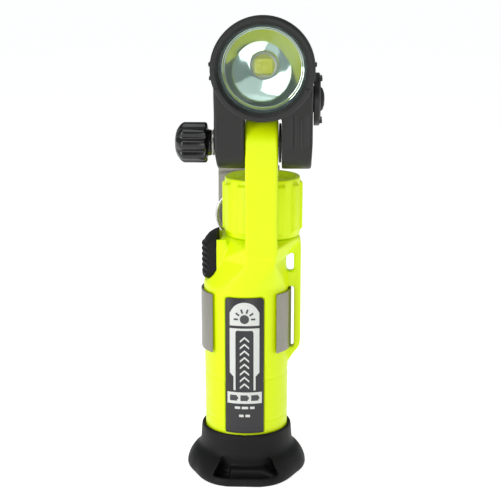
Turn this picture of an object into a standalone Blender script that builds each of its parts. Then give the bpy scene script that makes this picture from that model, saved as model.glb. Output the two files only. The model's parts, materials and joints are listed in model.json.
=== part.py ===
"""Right-angle hand lamp for firefighters: a battery tube with a boot, a mast and a tilting head.

The lamp stands on its rubber boot. The origin is on the floor under the axis of the battery
tube, +Z is up, the lens faces -Y and the gear bar is on the +X side. All sizes are in metres.
"""
import math

import bmesh
import bpy
from mathutils import Vector

MM = 0.001
GAP = 0.3 * MM  # running gap left between pieces that touch

# Battery tube
TUBE_BOTTOM_R = 18.2 * MM
TUBE_TOP_R = 18.7 * MM
TUBE_LOW = 10.1 * MM
TUBE_TOP = 85.0 * MM
BORE_R = 16.0 * MM
BORE_TOP = 79.0 * MM

# Shoulder, neck and top cap, whose common axis stands off to the right of the tube
CAP_X = 7.0 * MM
CAP_Y = 1.5 * MM
CAP_R = 16.4 * MM
CAP_RIB = 1.1 * MM
CAP_SEAT = 106.0 * MM
WAIST_X = 1.6 * MM
WAIST_Y = 0.5 * MM
WAIST_R = 15.9 * MM
WAIST_Z = 97.0 * MM
CAP_TOP = 132.0 * MM
NECK_R = 12.6 * MM
NECK_TOP = 116.0 * MM
CHAMBER_X = 6.0 * MM
CHAMBER_Y = 1.0 * MM
CHAMBER_R = 9.6 * MM

# Mast that carries the head
MAST_X = 7.2 * MM
MAST_HALF = 6.85 * MM
MAST_FRONT = -21.2 * MM
MAST_BACK = -16.6 * MM
PIVOT_Y = -11.0 * MM
PIVOT_Z = 148.0 * MM
BOSS_R = 10.2 * MM
PIN_R = 1.9 * MM
PIN_HOLE_R = 2.3 * MM

# Head
HEAD_X = 7.9 * MM
HEAD_Z = 180.4 * MM
BEZEL_R = 21.4 * MM
FORK_LEFT = 0.0 * MM
FORK_RIGHT = 15.6 * MM
FORK_TOP = 159.4 * MM
FORK_OUTSIDE = (-12.6 * MM, 28.5 * MM)
REAR_Z = 179.4 * MM
LEG_R = 10.9 * MM
SWITCH_Y = -8.0 * MM
SWITCH_Z = 166.2 * MM

# Batteries: three AA cells side by side
CELL_R = 7.1 * MM
CELL_RING = 8.35 * MM
CELL_LOW = 21.8 * MM
CELL_TOP = 71.0 * MM

# Boot
BOOT_RIM = 20.0 * MM
BOOT_R = 26.7 * MM
BOOT_FRONT = 30.3 * MM
BOOT_FLOOR = 2.6 * MM

# Power button on the left shoulder
BUTTON_Z = 98.15 * MM
BUTTON_HALF_Y = 9.5 * MM
BUTTON_HALF_Z = 10.75 * MM
BUTTON_SEAT = -12.3 * MM
BUTTON_TRAVEL = 1.0 * MM
BUTTON_FLOOR = BUTTON_SEAT + BUTTON_TRAVEL + GAP

# Steel clip and its ring
BAND_IN = 19.0 * MM
BAND_OUT = 19.9 * MM
BAND_LOW = 56.0 * MM
BAND_TOP = 82.5 * MM
STRIP = 0.9 * MM
CLIP_HALF = 13.8 * MM
CLIP_LEG_Y = 25.0 * MM
CLIP_BEND_R = 3.25 * MM
CLIP_BEND_Z = 128.3 * MM
RING_X = -3.5 * MM
RING_Y = 21.9 * MM
RING_R = 10.8 * MM
RING_WIRE = 0.9 * MM
EYE_Z = 121.4 * MM

ROUND = 40
SMALL = 24


# ---------------------------------------------------------------- scene and materials

def clear_scene():
    for obj in list(bpy.data.objects):
        bpy.data.objects.remove(obj, do_unlink=True)


def new_collection(name):
    group = bpy.data.collections.new(name)
    bpy.context.scene.collection.children.link(group)
    return group


def material(name, colour, roughness, metallic=0.0, alpha=1.0):
    made = bpy.data.materials.new(name)
    made.use_nodes = True
    shader = made.node_tree.nodes["Principled BSDF"]
    shader.inputs["Base Color"].default_value = (*colour, 1.0)
    shader.inputs["Roughness"].default_value = roughness
    shader.inputs["Metallic"].default_value = metallic
    shader.inputs["Alpha"].default_value = alpha
    return made


clear_scene()
PARTS = new_collection("firefighter_flashlight")
CUTTERS = new_collection("cutters")


# ---------------------------------------------------------------- shape helpers

def arc(centre_a, centre_b, radius, start, end, steps):
    """Points on an arc, angles in degrees, both ends included."""
    points = []
    for i in range(steps + 1):
        angle = math.radians(start + (end - start) * i / steps)
        points.append((centre_a + radius * math.cos(angle), centre_b + radius * math.sin(angle)))
    return points


def rounded_rectangle(centre_a, centre_b, half_a, half_b, corner, steps=5):
    points = []
    for sign_a, sign_b, start in ((1, 1, 0), (-1, 1, 90), (-1, -1, 180), (1, -1, 270)):
        points += arc(centre_a + sign_a * (half_a - corner), centre_b + sign_b * (half_b - corner),
                      corner, start, start + 90, steps)
    return points


def place(name, mesh_data, location=(0, 0, 0), rotation=(0, 0, 0)):
    obj = bpy.data.objects.new(name, mesh_data)
    obj.location = location
    obj.rotation_euler = rotation
    CUTTERS.objects.link(obj)
    obj.hide_render = True
    obj.display_type = "WIRE"
    return obj


def from_bmesh(name, bm, location=(0, 0, 0), rotation=(0, 0, 0)):
    bmesh.ops.recalc_face_normals(bm, faces=bm.faces)
    mesh_data = bpy.data.meshes.new(name)
    bm.to_mesh(mesh_data)
    bm.free()
    return place(name, mesh_data, location, rotation)


def box(name, low, high):
    bm = bmesh.new()
    bmesh.ops.create_cube(bm, size=1.0)
    size = [b - a for a, b in zip(low, high)]
    middle = [(a + b) / 2 for a, b in zip(low, high)]
    bmesh.ops.scale(bm, vec=size, verts=bm.verts)
    return from_bmesh(name, bm, middle)


def cylinder(name, radius, low, high, centre=(0, 0), axis="Z", sides=ROUND, top_radius=None):
    """A cylinder or cone from low to high along the axis; centre is on the other two axes."""
    bm = bmesh.new()
    if top_radius is None:
        top_radius = radius
    bmesh.ops.create_cone(bm, cap_ends=True, segments=sides, radius1=radius,
                          radius2=top_radius, depth=high - low)
    middle = (low + high) / 2
    places = {
        "Z": ((centre[0], centre[1], middle), (0, 0, 0)),
        "Y": ((centre[0], middle, centre[1]), (-math.pi / 2, 0, 0)),
        "X": ((middle, centre[0], centre[1]), (0, math.pi / 2, 0)),
    }
    location, rotation = places[axis]
    return from_bmesh(name, bm, location, rotation)


def slab(name, outline, axis, low, high, bevel=0.0):
    """A flat outline pulled along an axis; the outline is on the other two axes, in order."""
    bm = bmesh.new()
    order = {"X": lambda a, b: (low, a, b), "Y": lambda a, b: (a, low, b), "Z": lambda a, b: (a, b, low)}
    verts = [bm.verts.new(order[axis](a, b)) for a, b in outline]
    face = bm.faces.new(verts)
    pulled = bmesh.ops.extrude_face_region(bm, geom=[face])
    moved = [item for item in pulled["geom"] if isinstance(item, bmesh.types.BMVert)]
    shift = Vector((0, 0, 0))
    shift["XYZ".index(axis)] = high - low
    bmesh.ops.translate(bm, vec=shift, verts=moved)
    obj = from_bmesh(name, bm)
    if bevel:
        add_bevel(obj, bevel)
    return obj


def turned(name, profile, location=(0, 0, 0), axis="Z", closed=False, sides=ROUND):
    """A profile of (radius, height) turned about its axis; the outer side runs downwards.

    Along X the height is measured towards +X, and along Y towards -Y, the way the lens faces.
    """
    bm = bmesh.new()
    verts = [bm.verts.new((radius, 0, height)) for radius, height in profile]
    for first, second in zip(verts, verts[1:]):
        bm.edges.new((first, second))
    if closed:
        bm.edges.new((verts[-1], verts[0]))
    mesh_data = bpy.data.meshes.new(name)
    bm.to_mesh(mesh_data)
    bm.free()
    rotation = {"Z": (0, 0, 0), "Y": (math.pi / 2, 0, 0), "X": (0, math.pi / 2, 0)}[axis]
    obj = place(name, mesh_data, location, rotation)
    screw = obj.modifiers.new("turn", "SCREW")
    screw.axis = "Z"
    screw.steps = sides
    screw.render_steps = sides
    screw.use_merge_vertices = True
    screw.merge_threshold = 0.00001
    return obj


def hull(name, points):
    bm = bmesh.new()
    for point in points:
        bm.verts.new(point)
    made = bmesh.ops.convex_hull(bm, input=bm.verts)
    loose = [item for item in made["geom_interior"] if isinstance(item, bmesh.types.BMVert)]
    bmesh.ops.delete(bm, geom=loose, context="VERTS")
    return from_bmesh(name, bm)


def loft(name, rings, location=(0, 0, 0), rotation=(0, 0, 0)):
    """Joins closed rings of equal point counts into one solid, with a flat cap at each end."""
    bm = bmesh.new()
    rows = [[bm.verts.new(point) for point in ring] for ring in rings]
    count = len(rows[0])
    for lower, upper in zip(rows, rows[1:]):
        for i in range(count):
            j = (i + 1) % count
            bm.faces.new((lower[i], lower[j], upper[j], upper[i]))
    bm.faces.new(rows[0])
    bm.faces.new(rows[-1])
    return from_bmesh(name, bm, location, rotation)


def wire(name, points, radius, resolution=2):
    """A round wire along a list of points, turned into a mesh."""
    data = bpy.data.curves.new(name, "CURVE")
    data.dimensions = "3D"
    data.bevel_depth = radius
    data.bevel_resolution = resolution
    data.use_fill_caps = True
    spline = data.splines.new("POLY")
    spline.points.add(len(points) - 1)
    for item, point in zip(spline.points, points):
        item.co = (*point, 1.0)
    curve = bpy.data.objects.new(name + "_path", data)
    CUTTERS.objects.link(curve)
    bpy.context.view_layer.update()
    evaluated = curve.evaluated_get(bpy.context.evaluated_depsgraph_get())
    mesh_data = bpy.data.meshes.new_from_object(evaluated)
    bpy.data.objects.remove(curve, do_unlink=True)
    bm = bmesh.new()
    bm.from_mesh(mesh_data)
    bmesh.ops.remove_doubles(bm, verts=bm.verts, dist=0.00001)
    bpy.data.meshes.remove(mesh_data)
    return from_bmesh(name, bm)


def add_bevel(obj, width, segments=2):
    bevel = obj.modifiers.new("bevel", "BEVEL")
    bevel.width = width
    bevel.segments = segments
    bevel.limit_method = "ANGLE"
    bevel.angle_limit = math.radians(40)


def combine(obj, other, operation):
    step = obj.modifiers.new(operation.lower() + "_" + other.name, "BOOLEAN")
    step.operation = operation
    step.object = other
    step.solver = "EXACT"


def join(obj, *others):
    for other in others:
        combine(obj, other, "UNION")


def cut(obj, *others):
    for other in others:
        combine(obj, other, "DIFFERENCE")


def finish(obj, finish_material, origin=None):
    """Makes a shape a part: collection, material, shading and an origin on its joint's axis."""
    CUTTERS.objects.unlink(obj)
    PARTS.objects.link(obj)
    obj.hide_render = False
    obj.display_type = "TEXTURED"
    obj.data.materials.append(finish_material)
    obj.data.shade_smooth()
    obj.data.set_sharp_from_angle(angle=math.radians(35))
    if origin is not None:
        pivot = bpy.data.objects.new(obj.name + "_pivot", None)
        pivot.location = origin
        PARTS.objects.link(pivot)
        obj.parent = pivot
        obj.location = obj.location - pivot.location
    return obj


# ---------------------------------------------------------------- finishes

LIME = material("lime_plastic", (0.60, 0.86, 0.01), 0.35)
BLACK = material("black_plastic", (0.02, 0.02, 0.02), 0.35)
RUBBER = material("black_rubber", (0.025, 0.025, 0.025), 0.7)
LABEL = material("label_black", (0.03, 0.03, 0.035), 0.4)
STEEL = material("spring_steel", (0.45, 0.45, 0.42), 0.35, 1.0)
COPPER = material("nickel_contact", (0.7, 0.65, 0.5), 0.3, 1.0)
MAGNET = material("magnet", (0.5, 0.5, 0.5), 0.3, 1.0)
CELL = material("cell_wrap", (0.05, 0.12, 0.35), 0.4)
BOARD = material("circuit_board", (0.02, 0.2, 0.06), 0.5)
CLEAR = material("clear_lens", (0.95, 0.98, 0.98), 0.02, 0.0, 0.25)
MIRROR = material("bright_reflector", (0.9, 0.92, 0.92), 0.05, 1.0)
CHIP = material("yellow_phosphor", (0.9, 0.8, 0.1), 0.4)
HEATSINK = material("aluminium", (0.75, 0.75, 0.76), 0.35, 1.0)
SEAL = material("seal_rubber", (0.03, 0.03, 0.03), 0.6)


# ---------------------------------------------------------------- handle

def button_outline(margin=0.0):
    return rounded_rectangle(0.0, BUTTON_Z, BUTTON_HALF_Y + margin, BUTTON_HALF_Z + margin,
                             6.5 * MM + margin)


def mast_outline():
    """Side view of the mast: a flat strut with a round boss at the pivot."""
    foot = CAP_SEAT - 6 * MM
    outline = [(MAST_BACK, foot), (MAST_BACK, 130.5 * MM)]
    outline += arc(PIVOT_Y, PIVOT_Z, BOSS_R, -75, 180, 20)
    outline.append((MAST_FRONT, foot))
    return outline


def circle(x, y, radius, height):
    return [(x + radius * math.cos(2 * math.pi * i / ROUND), y + radius * math.sin(2 * math.pi * i / ROUND),
             height) for i in range(ROUND)]


def shoulders():
    """Two lofts: the tube narrows to a waist, which flares to the cap's seat and the mast's foot."""
    waist = circle(WAIST_X, WAIST_Y, WAIST_R, WAIST_Z)
    waist += [(MAST_X - 6 * MM, -20.2 * MM, WAIST_Z), (MAST_X + 5.8 * MM, -20.2 * MM, WAIST_Z)]
    seat = circle(CAP_X, CAP_Y, CAP_R, CAP_SEAT - 2.2 * MM) + circle(CAP_X, CAP_Y, CAP_R, CAP_SEAT)
    seat += [(MAST_X + side * MAST_HALF, MAST_FRONT, CAP_SEAT - 2 * MM) for side in (-1, 1)]
    lower = hull("lower_shoulder", circle(0, 0, TUBE_TOP_R, TUBE_TOP) + waist)
    upper = hull("upper_shoulder", waist + seat)
    return lower, upper


def gear_bar():
    """The bar on the right side: an eye at the top and a long slot beside the tube."""
    outer = 24.0 * MM
    outline = [(12 * MM, 48.4 * MM), (18.4 * MM, 48.4 * MM)]
    outline += arc(outer - 7.2 * MM, 58.6 * MM, 7.2 * MM, -50, 0, 5)
    outline += [(outer, 101 * MM), (23.7 * MM, 104.6 * MM), (22.8 * MM, 105.5 * MM), (12 * MM, 105.5 * MM)]
    return slab("gear_bar", outline, "Y", -2.2 * MM, 2.2 * MM, bevel=0.6 * MM)


def body_shell():
    shell = cylinder("body_shell", TUBE_BOTTOM_R, TUBE_LOW, TUBE_TOP + 0.2 * MM,
                     top_radius=TUBE_TOP_R)
    mast = slab("mast", mast_outline(), "X", MAST_X - MAST_HALF, MAST_X + MAST_HALF, bevel=1.2 * MM)
    neck = cylinder("neck", NECK_R, CAP_SEAT - 3 * MM, NECK_TOP, (CAP_X, CAP_Y))
    pad = slab("button_pad", button_outline(1.1 * MM), "X", BUTTON_SEAT - 0.2 * MM, -8 * MM)
    cut(pad, box("pad_top", (-30 * MM, -20 * MM, CAP_SEAT - 0.3 * MM), (0, 20 * MM, 120 * MM)))
    join(shell, *shoulders(), gear_bar(), mast, neck, pad)

    bore = cylinder("bore", BORE_R, TUBE_LOW - 5 * MM, BORE_TOP)
    chamber = cylinder("chamber", CHAMBER_R, BORE_TOP - 2 * MM, NECK_TOP + 5 * MM,
                       (CHAMBER_X, CHAMBER_Y))
    seal_groove = turned("seal_groove", [(11.3 * MM, 113 * MM), (15 * MM, 113 * MM),
                                         (15 * MM, 111 * MM), (11.3 * MM, 111 * MM)],
                         (CAP_X, CAP_Y, 0), closed=True)
    label_recess = box("label_recess", (-8.6 * MM, -30 * MM, 20.3 * MM), (8.6 * MM, -10 * MM, 83.1 * MM))
    cut(label_recess, cylinder("label_bed", 17.2 * MM, 15 * MM, 90 * MM, top_radius=17.7 * MM))
    pocket = slab("button_pocket", button_outline(GAP), "X", -30 * MM, BUTTON_FLOOR)
    plunger_hole = cylinder("plunger_hole", 3.8 * MM, -20 * MM, 0, (0, BUTTON_Z), "X", SMALL)
    slot = slab("bar_slot", rounded_rectangle(19.7 * MM, 69.4 * MM, 1.35 * MM, 13.8 * MM, 0.6 * MM, 2),
                "Y", -10 * MM, 10 * MM)
    eye = slab("bar_eye", [(17.6 * MM, 91 * MM), (18.2 * MM, 90.1 * MM), (20.9 * MM, 90.1 * MM),
                           (20.9 * MM, 98.9 * MM), (17.6 * MM, 96.8 * MM)], "Y", -6 * MM, 6 * MM)
    pivot_hole = cylinder("pivot_hole", PIN_HOLE_R, -5 * MM, 20 * MM, (PIVOT_Y, PIVOT_Z), "X", SMALL)
    lead_groove = box("lead_groove", (MAST_X - 1.3 * MM, -18.4 * MM, 101 * MM),
                      (MAST_X + 1.3 * MM, -16 * MM, 141 * MM))
    lead_tunnel = box("lead_tunnel", (MAST_X - 1.3 * MM, -17 * MM, 101 * MM),
                      (MAST_X + 1.3 * MM, -4 * MM, 104 * MM))
    cut(shell, bore, chamber, seal_groove, label_recess, pocket, plunger_hole, slot, eye,
        pivot_hole, lead_groove, lead_tunnel)
    finish(shell, LIME)


def label_plate():
    """The curved name plate, with rounded upper corners, proud of the tube by a hair."""
    half = 8.3 * MM
    outline = [(half, 20.6 * MM)] + arc(half - 2.5 * MM, 80.3 * MM, 2.5 * MM, 0, 90, 5)
    outline += arc(2.5 * MM - half, 80.3 * MM, 2.5 * MM, 90, 180, 5) + [(-half, 20.6 * MM)]
    plate = slab("label_plate", outline, "Y", -25 * MM, -10 * MM)
    outside = cylinder("label_outside", 18.45 * MM, 10 * MM, 90 * MM, top_radius=18.95 * MM, sides=96)
    combine(plate, outside, "INTERSECT")
    cut(plate, cylinder("label_inside", 17.55 * MM, 10 * MM, 90 * MM, top_radius=18.05 * MM))
    finish(plate, LABEL)


def power_lead():
    points = [(MAST_X, -9.0 * MM, 102.5 * MM), (MAST_X, -14.5 * MM, 102.5 * MM)]
    for y, z in arc(-14.5 * MM, 105.2 * MM, 2.7 * MM, 255, 180, 4):
        points.append((MAST_X, y, z))
    points.append((MAST_X, -17.2 * MM, 137 * MM))
    finish(wire("power_lead", points, 0.75 * MM), BLACK)


# ---------------------------------------------------------------- boot and battery door

def boot_radius(angle):
    """Radius of the flange in plan: round behind, with a broad flat toe in front."""
    off_front = abs(math.degrees(math.remainder(angle + math.pi / 2, 2 * math.pi)))
    t = min(max((62 - off_front) / 42, 0), 1)
    radius = BOOT_R + 4.4 * MM * t * t * (3 - 2 * t)
    if off_front < 40:
        radius = min(radius, BOOT_FRONT / math.cos(math.radians(off_front)))
    return radius


def boot_ring(height, sleeve, share, inset=0.0):
    """One level of the boot: share 0 is the round sleeve, 1 the full flange."""
    ring = []
    for i in range(ROUND):
        angle = 2 * math.pi * i / ROUND
        radius = sleeve + (boot_radius(angle) - sleeve) * share - inset
        ring.append((radius * math.cos(angle), radius * math.sin(angle), height))
    return ring


def rubber_boot():
    levels = [(0.0, 22.0, 1.0, 1.0), (0.5, 22.0, 1.0, 0.3), (1.2, 22.0, 1.0, 0.0), (2.6, 22.0, 0.96, 0.0),
              (4.0, 22.0, 0.87, 0.0), (5.4, 22.0, 0.74, 0.0), (6.8, 22.0, 0.56, 0.0), (8.0, 22.0, 0.36, 0.0),
              (9.1, 21.6, 0.14, 0.0), (10.0, 21.2, 0.02, 0.0), (11.2, 20.7, 0.0, 0.0), (13.0, 20.4, 0.0, 0.0),
              (18.6, 20.05, 0.0, 0.0), (19.6, 19.85, 0.0, 0.0), (20.0, 19.5, 0.0, 0.0)]
    rings = [boot_ring(z * MM, sleeve * MM, share, inset * MM) for z, sleeve, share, inset in levels]
    boot = loft("rubber_boot", rings)
    scallop = slab("scallop", [(-13.9 * MM, 3.6 * MM), (15.4 * MM, 3.6 * MM), (8.6 * MM, 13.8 * MM),
                               (-7.2 * MM, 13.8 * MM)], "Y", -45 * MM, -12 * MM)
    pocket = loft("toe_pocket", [boot_ring(z * MM, 22.0 * MM, 1.0, 2.2 * MM) for z in (1.6, 3.9)])
    combine(pocket, box("pocket_trim", (-13.0 * MM, -40 * MM, 0), (14.4 * MM, -12 * MM, 20 * MM)), "INTERSECT")
    tab = slab("toe_tab", [(-6.5 * MM, MM), (14.2 * MM, MM), (14.2 * MM, 3.3 * MM), (8.0 * MM, 6.2 * MM),
                           (-5.7 * MM, 6.2 * MM)], "Y", -25.4 * MM, -19 * MM, bevel=0.6 * MM)
    cut(scallop, cylinder("scallop_back", 20.9 * MM, -5 * MM, 20 * MM))
    cut(pocket, cylinder("pocket_back", 21.6 * MM, -5 * MM, 20 * MM))
    cut(boot, scallop, pocket)
    join(boot, tab)
    cut(boot, cylinder("boot_socket", TUBE_BOTTOM_R + GAP, BOOT_FLOOR, BOOT_RIM + 5 * MM))
    finish(boot, RUBBER, (0, 0, 0))


def battery_door():
    profile = [(0, 15.0), (15.2, 15.0), (15.2, 13.4), (14.0, 13.4), (14.0, 11.6), (15.2, 11.6), (15.2, 9.8),
               (18.1, 9.8), (18.1, 3.0), (9.2, 3.0), (9.2, 7.0), (0, 7.0)]
    finish(turned("tail_cap", [(r * MM, z * MM) for r, z in profile], sides=36), BLACK, (0, 0, 0))
    ring = turned("tail_cap_seal", arc(14.9 * MM, 12.5 * MM, 0.6 * MM, 90, -210, 5), closed=True, sides=32)
    finish(ring, SEAL, (0, 0, 0))
    finish(cylinder("base_magnet", 8.8 * MM, 3.1 * MM, 6.7 * MM, sides=32), MAGNET, (0, 0, 0))
    finish(cylinder("lower_contact", 14.4 * MM, 15.3 * MM, 15.9 * MM, sides=32), COPPER, (0, 0, 0))
    for number, (x, y) in enumerate(cell_centres(), 1):
        points = []
        turns = 3
        for i in range(turns * 8 + 1):
            angle = 2 * math.pi * i / 8
            share = i / (turns * 8)
            radius = (3.6 - 1.4 * share) * MM
            height = (16.6 + 4.4 * share) * MM
            points.append((x + radius * math.cos(angle), y + radius * math.sin(angle), height))
        finish(wire(f"contact_spring_{number}", points, 0.35 * MM, 1), COPPER, (0, 0, 0))


def cell_centres():
    return [(CELL_RING * math.cos(math.radians(a)), CELL_RING * math.sin(math.radians(a)))
            for a in (90, 210, 330)]


def cells_and_contacts():
    for number, (x, y) in enumerate(cell_centres(), 1):
        profile = [(0, CELL_TOP + MM), (2.7 * MM, CELL_TOP + MM), (2.7 * MM, CELL_TOP), (6.6 * MM, CELL_TOP),
                   (CELL_R, CELL_TOP - 0.6 * MM), (CELL_R, CELL_LOW + 0.4 * MM), (6.7 * MM, CELL_LOW),
                   (0, CELL_LOW)]
        finish(turned(f"battery_{number}", profile, (x, y, 0), sides=SMALL), CELL)
    finish(cylinder("upper_contact", 15.2 * MM, 72.4 * MM, 73.0 * MM, sides=32), COPPER)
    carrier = cylinder("contact_carrier", 15.4 * MM, 73.4 * MM, 77.2 * MM, sides=32)
    cut(carrier, cylinder("carrier_hole", 4 * MM, 70 * MM, 80 * MM, sides=16))
    finish(carrier, BLACK)


# ---------------------------------------------------------------- power button and its switch

def power_button():
    """The ribbed rubber button: its face follows the tube, and its stem reaches the switch."""
    profile = [(0, 108.9), (13.4, 108.9), (14.8, 108.5), (16.4, 107.3), (17.6, 105.6), (18.5, 103.4)]
    rib_pitch = 2.45
    for rib in range(5):
        z = 102.6 - rib * rib_pitch
        profile += [(19.3, z), (18.75, z - 0.8), (18.75, z - 1.45)]
    profile += [(19.3, 90.3), (19.25, 88.5), (18.7, 87.4), (0, 87.4)]
    button = turned("side_button", [(r * MM, z * MM) for r, z in profile], sides=72)
    combine(button, slab("button_trim", button_outline(), "X", -30 * MM, BUTTON_SEAT), "INTERSECT")
    join(button, cylinder("button_stem", 2.2 * MM, -13.5 * MM, -5 * MM, (0, BUTTON_Z), "X", 16))
    finish(button, RUBBER, (BUTTON_SEAT, 0, BUTTON_Z))
    finish(box("switch_board", (-1.6 * MM, -4.4 * MM, 82 * MM), (-0.4 * MM, 6.2 * MM, 104 * MM)), BOARD)
    finish(box("tactile_switch", (-3.6 * MM, -2.5 * MM, 96 * MM), (-1.9 * MM, 2.5 * MM, 101 * MM)), BLACK)


# ---------------------------------------------------------------- top cap

def cap_ring(height, radius, rib=0.0):
    """A level of the cap; the rib height stands on three points out of six, twelve times."""
    ring = []
    for i in range(72):
        angle = 2 * math.pi * (i + 0.5) / 72
        here = radius + (rib if i % 6 < 3 else 0.0)
        ring.append((here * math.cos(angle), here * math.sin(angle), height))
    return ring


def top_cap():
    rings = [cap_ring(106.3 * MM, CAP_R), cap_ring(108.4 * MM, CAP_R), cap_ring(109.0 * MM, CAP_R, CAP_RIB),
             cap_ring(129.0 * MM, CAP_R, CAP_RIB), cap_ring(129.8 * MM, CAP_R), cap_ring(131.3 * MM, CAP_R),
             cap_ring(CAP_TOP, CAP_R - 0.7 * MM)]
    cap = loft("top_cap", rings, (CAP_X, CAP_Y, 0))
    cut(cap, cylinder("cap_socket", 13.1 * MM, 100 * MM, 119 * MM, (CAP_X, CAP_Y)),
        cylinder("cap_dish", 14.4 * MM, 129.4 * MM, 140 * MM, (CAP_X, CAP_Y)))
    finish(cap, LIME, (CAP_X, CAP_Y, CAP_SEAT))
    seal = turned("top_cap_seal", arc(12.2 * MM, 112 * MM, 0.6 * MM, 90, -210, 5), (CAP_X, CAP_Y, 0),
                  closed=True, sides=32)
    finish(seal, SEAL)


# ---------------------------------------------------------------- steel clip and ring

def strip_outline(path):
    """Thickens an open path in side view into the outline of a bent strip."""
    left, right = [], []
    for i, (a, b) in enumerate(path):
        before = path[max(i - 1, 0)]
        after = path[min(i + 1, len(path) - 1)]
        along = Vector((after[0] - before[0], after[1] - before[1])).normalized()
        left.append((a - along.y * STRIP / 2, b + along.x * STRIP / 2))
        right.append((a + along.y * STRIP / 2, b - along.x * STRIP / 2))
    return left + right[::-1]


def clip_band():
    """The band round the tube, the leg that rises behind it and the hairpin bend at its top."""
    profile = [(BAND_IN, BAND_TOP), (BAND_OUT, BAND_TOP), (BAND_OUT, BAND_LOW), (BAND_IN, BAND_LOW)]
    band = turned("clip_band", profile, closed=True, sides=96)
    cut(band, box("band_mouth", (-14.05 * MM, -30 * MM, 40 * MM), (13.75 * MM, -8 * MM, 100 * MM)))
    seat_y = (BAND_IN + BAND_OUT) / 2 + 0.05 * MM
    path = [(seat_y, 58 * MM), (seat_y, 83 * MM), (CLIP_LEG_Y, 97 * MM), (CLIP_LEG_Y, 110 * MM)]
    path += arc(CLIP_LEG_Y + CLIP_BEND_R, CLIP_BEND_Z, CLIP_BEND_R, 180, 0, 10)
    leg = slab("clip_leg", strip_outline(path), "X", -CLIP_HALF, CLIP_HALF)
    eye_plate = slab("ring_eye", arc(RING_Y, EYE_Z, 2.6 * MM, 90, 270, 8)
                     + [(CLIP_LEG_Y, EYE_Z - 2.6 * MM), (CLIP_LEG_Y, EYE_Z + 2.6 * MM)],
                     "X", RING_X - 0.8 * MM, RING_X + 0.8 * MM)
    join(band, leg, eye_plate)
    cut(band, cylinder("eye_hole", 1.5 * MM, RING_X - 3 * MM, RING_X + 3 * MM, (RING_Y, EYE_Z), "X", 16))
    finish(band, STEEL)


def clip_tongue():
    back = CLIP_LEG_Y + 2 * CLIP_BEND_R
    path = [(back, CLIP_BEND_Z - GAP), (back - 0.6 * MM, 90 * MM), (back - 1.2 * MM, 68 * MM),
            (back + 0.2 * MM, 63 * MM), (back + 2.2 * MM, 59 * MM)]
    tongue = slab("clip_tongue", strip_outline(path), "X", -CLIP_HALF, CLIP_HALF)
    finish(tongue, STEEL, (0, back, CLIP_BEND_Z))


def split_ring():
    centre_z = EYE_Z - 0.3 * MM - RING_R
    ring = turned("split_ring", [(RING_R + RING_WIRE * math.cos(a), RING_WIRE * math.sin(a))
                                 for a in [math.radians(90 - 45 * i) for i in range(8)]],
                  (RING_X, RING_Y, centre_z), "Y", closed=True)
    finish(ring, STEEL, (RING_X, RING_Y, EYE_Z - 0.3 * MM))


# ---------------------------------------------------------------- pivot hardware

def knob_ring(height, outer, lobe):
    """A level of the knob, with eight round lobes of the given depth."""
    ring = []
    for i in range(ROUND):
        angle = 2 * math.pi * i / ROUND
        radius = outer - lobe * (0.5 - 0.5 * math.cos(8 * angle)) ** 2
        ring.append((radius * math.cos(angle), radius * math.sin(angle), height))
    return ring


def pivot_hardware():
    origin = (0, PIVOT_Y, PIVOT_Z)
    levels = [(-29.5, 2.5, 0.0), (-29.0, 4.7, 0.0), (-28.0, 6.7, 0.5), (-26.8, 8.1, 1.1), (-25.8, 8.6, 1.3),
              (-16.4, 8.6, 1.3), (-15.8, 7.9, 0.9), (-15.7, 5.6, 0.0), (-14.0, 5.4, 0.0)]
    knob = loft("thumb_knob", [knob_ring(x * MM, r * MM, lobe * MM) for x, r, lobe in levels],
                (0, PIVOT_Y, PIVOT_Z), (0, math.pi / 2, 0))
    cut(knob, cylinder("knob_bore", PIN_HOLE_R, -22.3 * MM, -10 * MM, (PIVOT_Y, PIVOT_Z), "X", SMALL))
    finish(knob, BLACK, origin)

    washer = turned("knob_washer", [(PIN_HOLE_R, 0.4 * MM), (5.5 * MM, 0.4 * MM), (5.5 * MM, -0.4 * MM),
                                    (PIN_HOLE_R, -0.4 * MM)], (-13.3 * MM, PIVOT_Y, PIVOT_Z), "X", True, 32)
    finish(washer, STEEL, origin)
    screw = cylinder("pivot_screw", PIN_R, -22 * MM, 25.6 * MM, (PIVOT_Y, PIVOT_Z), "X", SMALL)
    finish(screw, STEEL, origin)

    nut = cylinder("pivot_nut", 3.7 * MM, 22.0 * MM, 25.0 * MM, (PIVOT_Y, PIVOT_Z), "X", 6)
    cut(nut, cylinder("nut_bore", PIN_HOLE_R, 15 * MM, 30 * MM, (PIVOT_Y, PIVOT_Z), "X", SMALL))
    finish(nut, STEEL, origin)
    middle = (MAST_X + MAST_HALF + FORK_RIGHT) / 2
    spacer = turned("friction_washer", [(PIN_HOLE_R, 0.45 * MM), (8.3 * MM, 0.45 * MM), (8.3 * MM, -0.45 * MM),
                                        (PIN_HOLE_R, -0.45 * MM)], (middle, PIVOT_Y, PIVOT_Z), "X", True, 32)
    finish(spacer, BLACK, origin)


# ---------------------------------------------------------------- head

HEAD_AT = (HEAD_X, 0, HEAD_Z)
TILT_AT = (HEAD_X, PIVOT_Y, PIVOT_Z)


def head_turned(name, profile, closed=False, sides=ROUND):
    """A turned head piece; its heights are millimetres forward of the tube's axis plane."""
    return turned(name, [(r * MM, z * MM) for r, z in profile], HEAD_AT, "Y", closed, sides)


def barrel_ring(y, radius, drop):
    """A level of the head's barrel, which leans down a little towards its rear."""
    ring = []
    for i in range(ROUND):
        angle = 2 * math.pi * i / ROUND
        ring.append((HEAD_X + radius * math.cos(angle), y, HEAD_Z - drop + radius * math.sin(angle)))
    return ring


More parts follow.
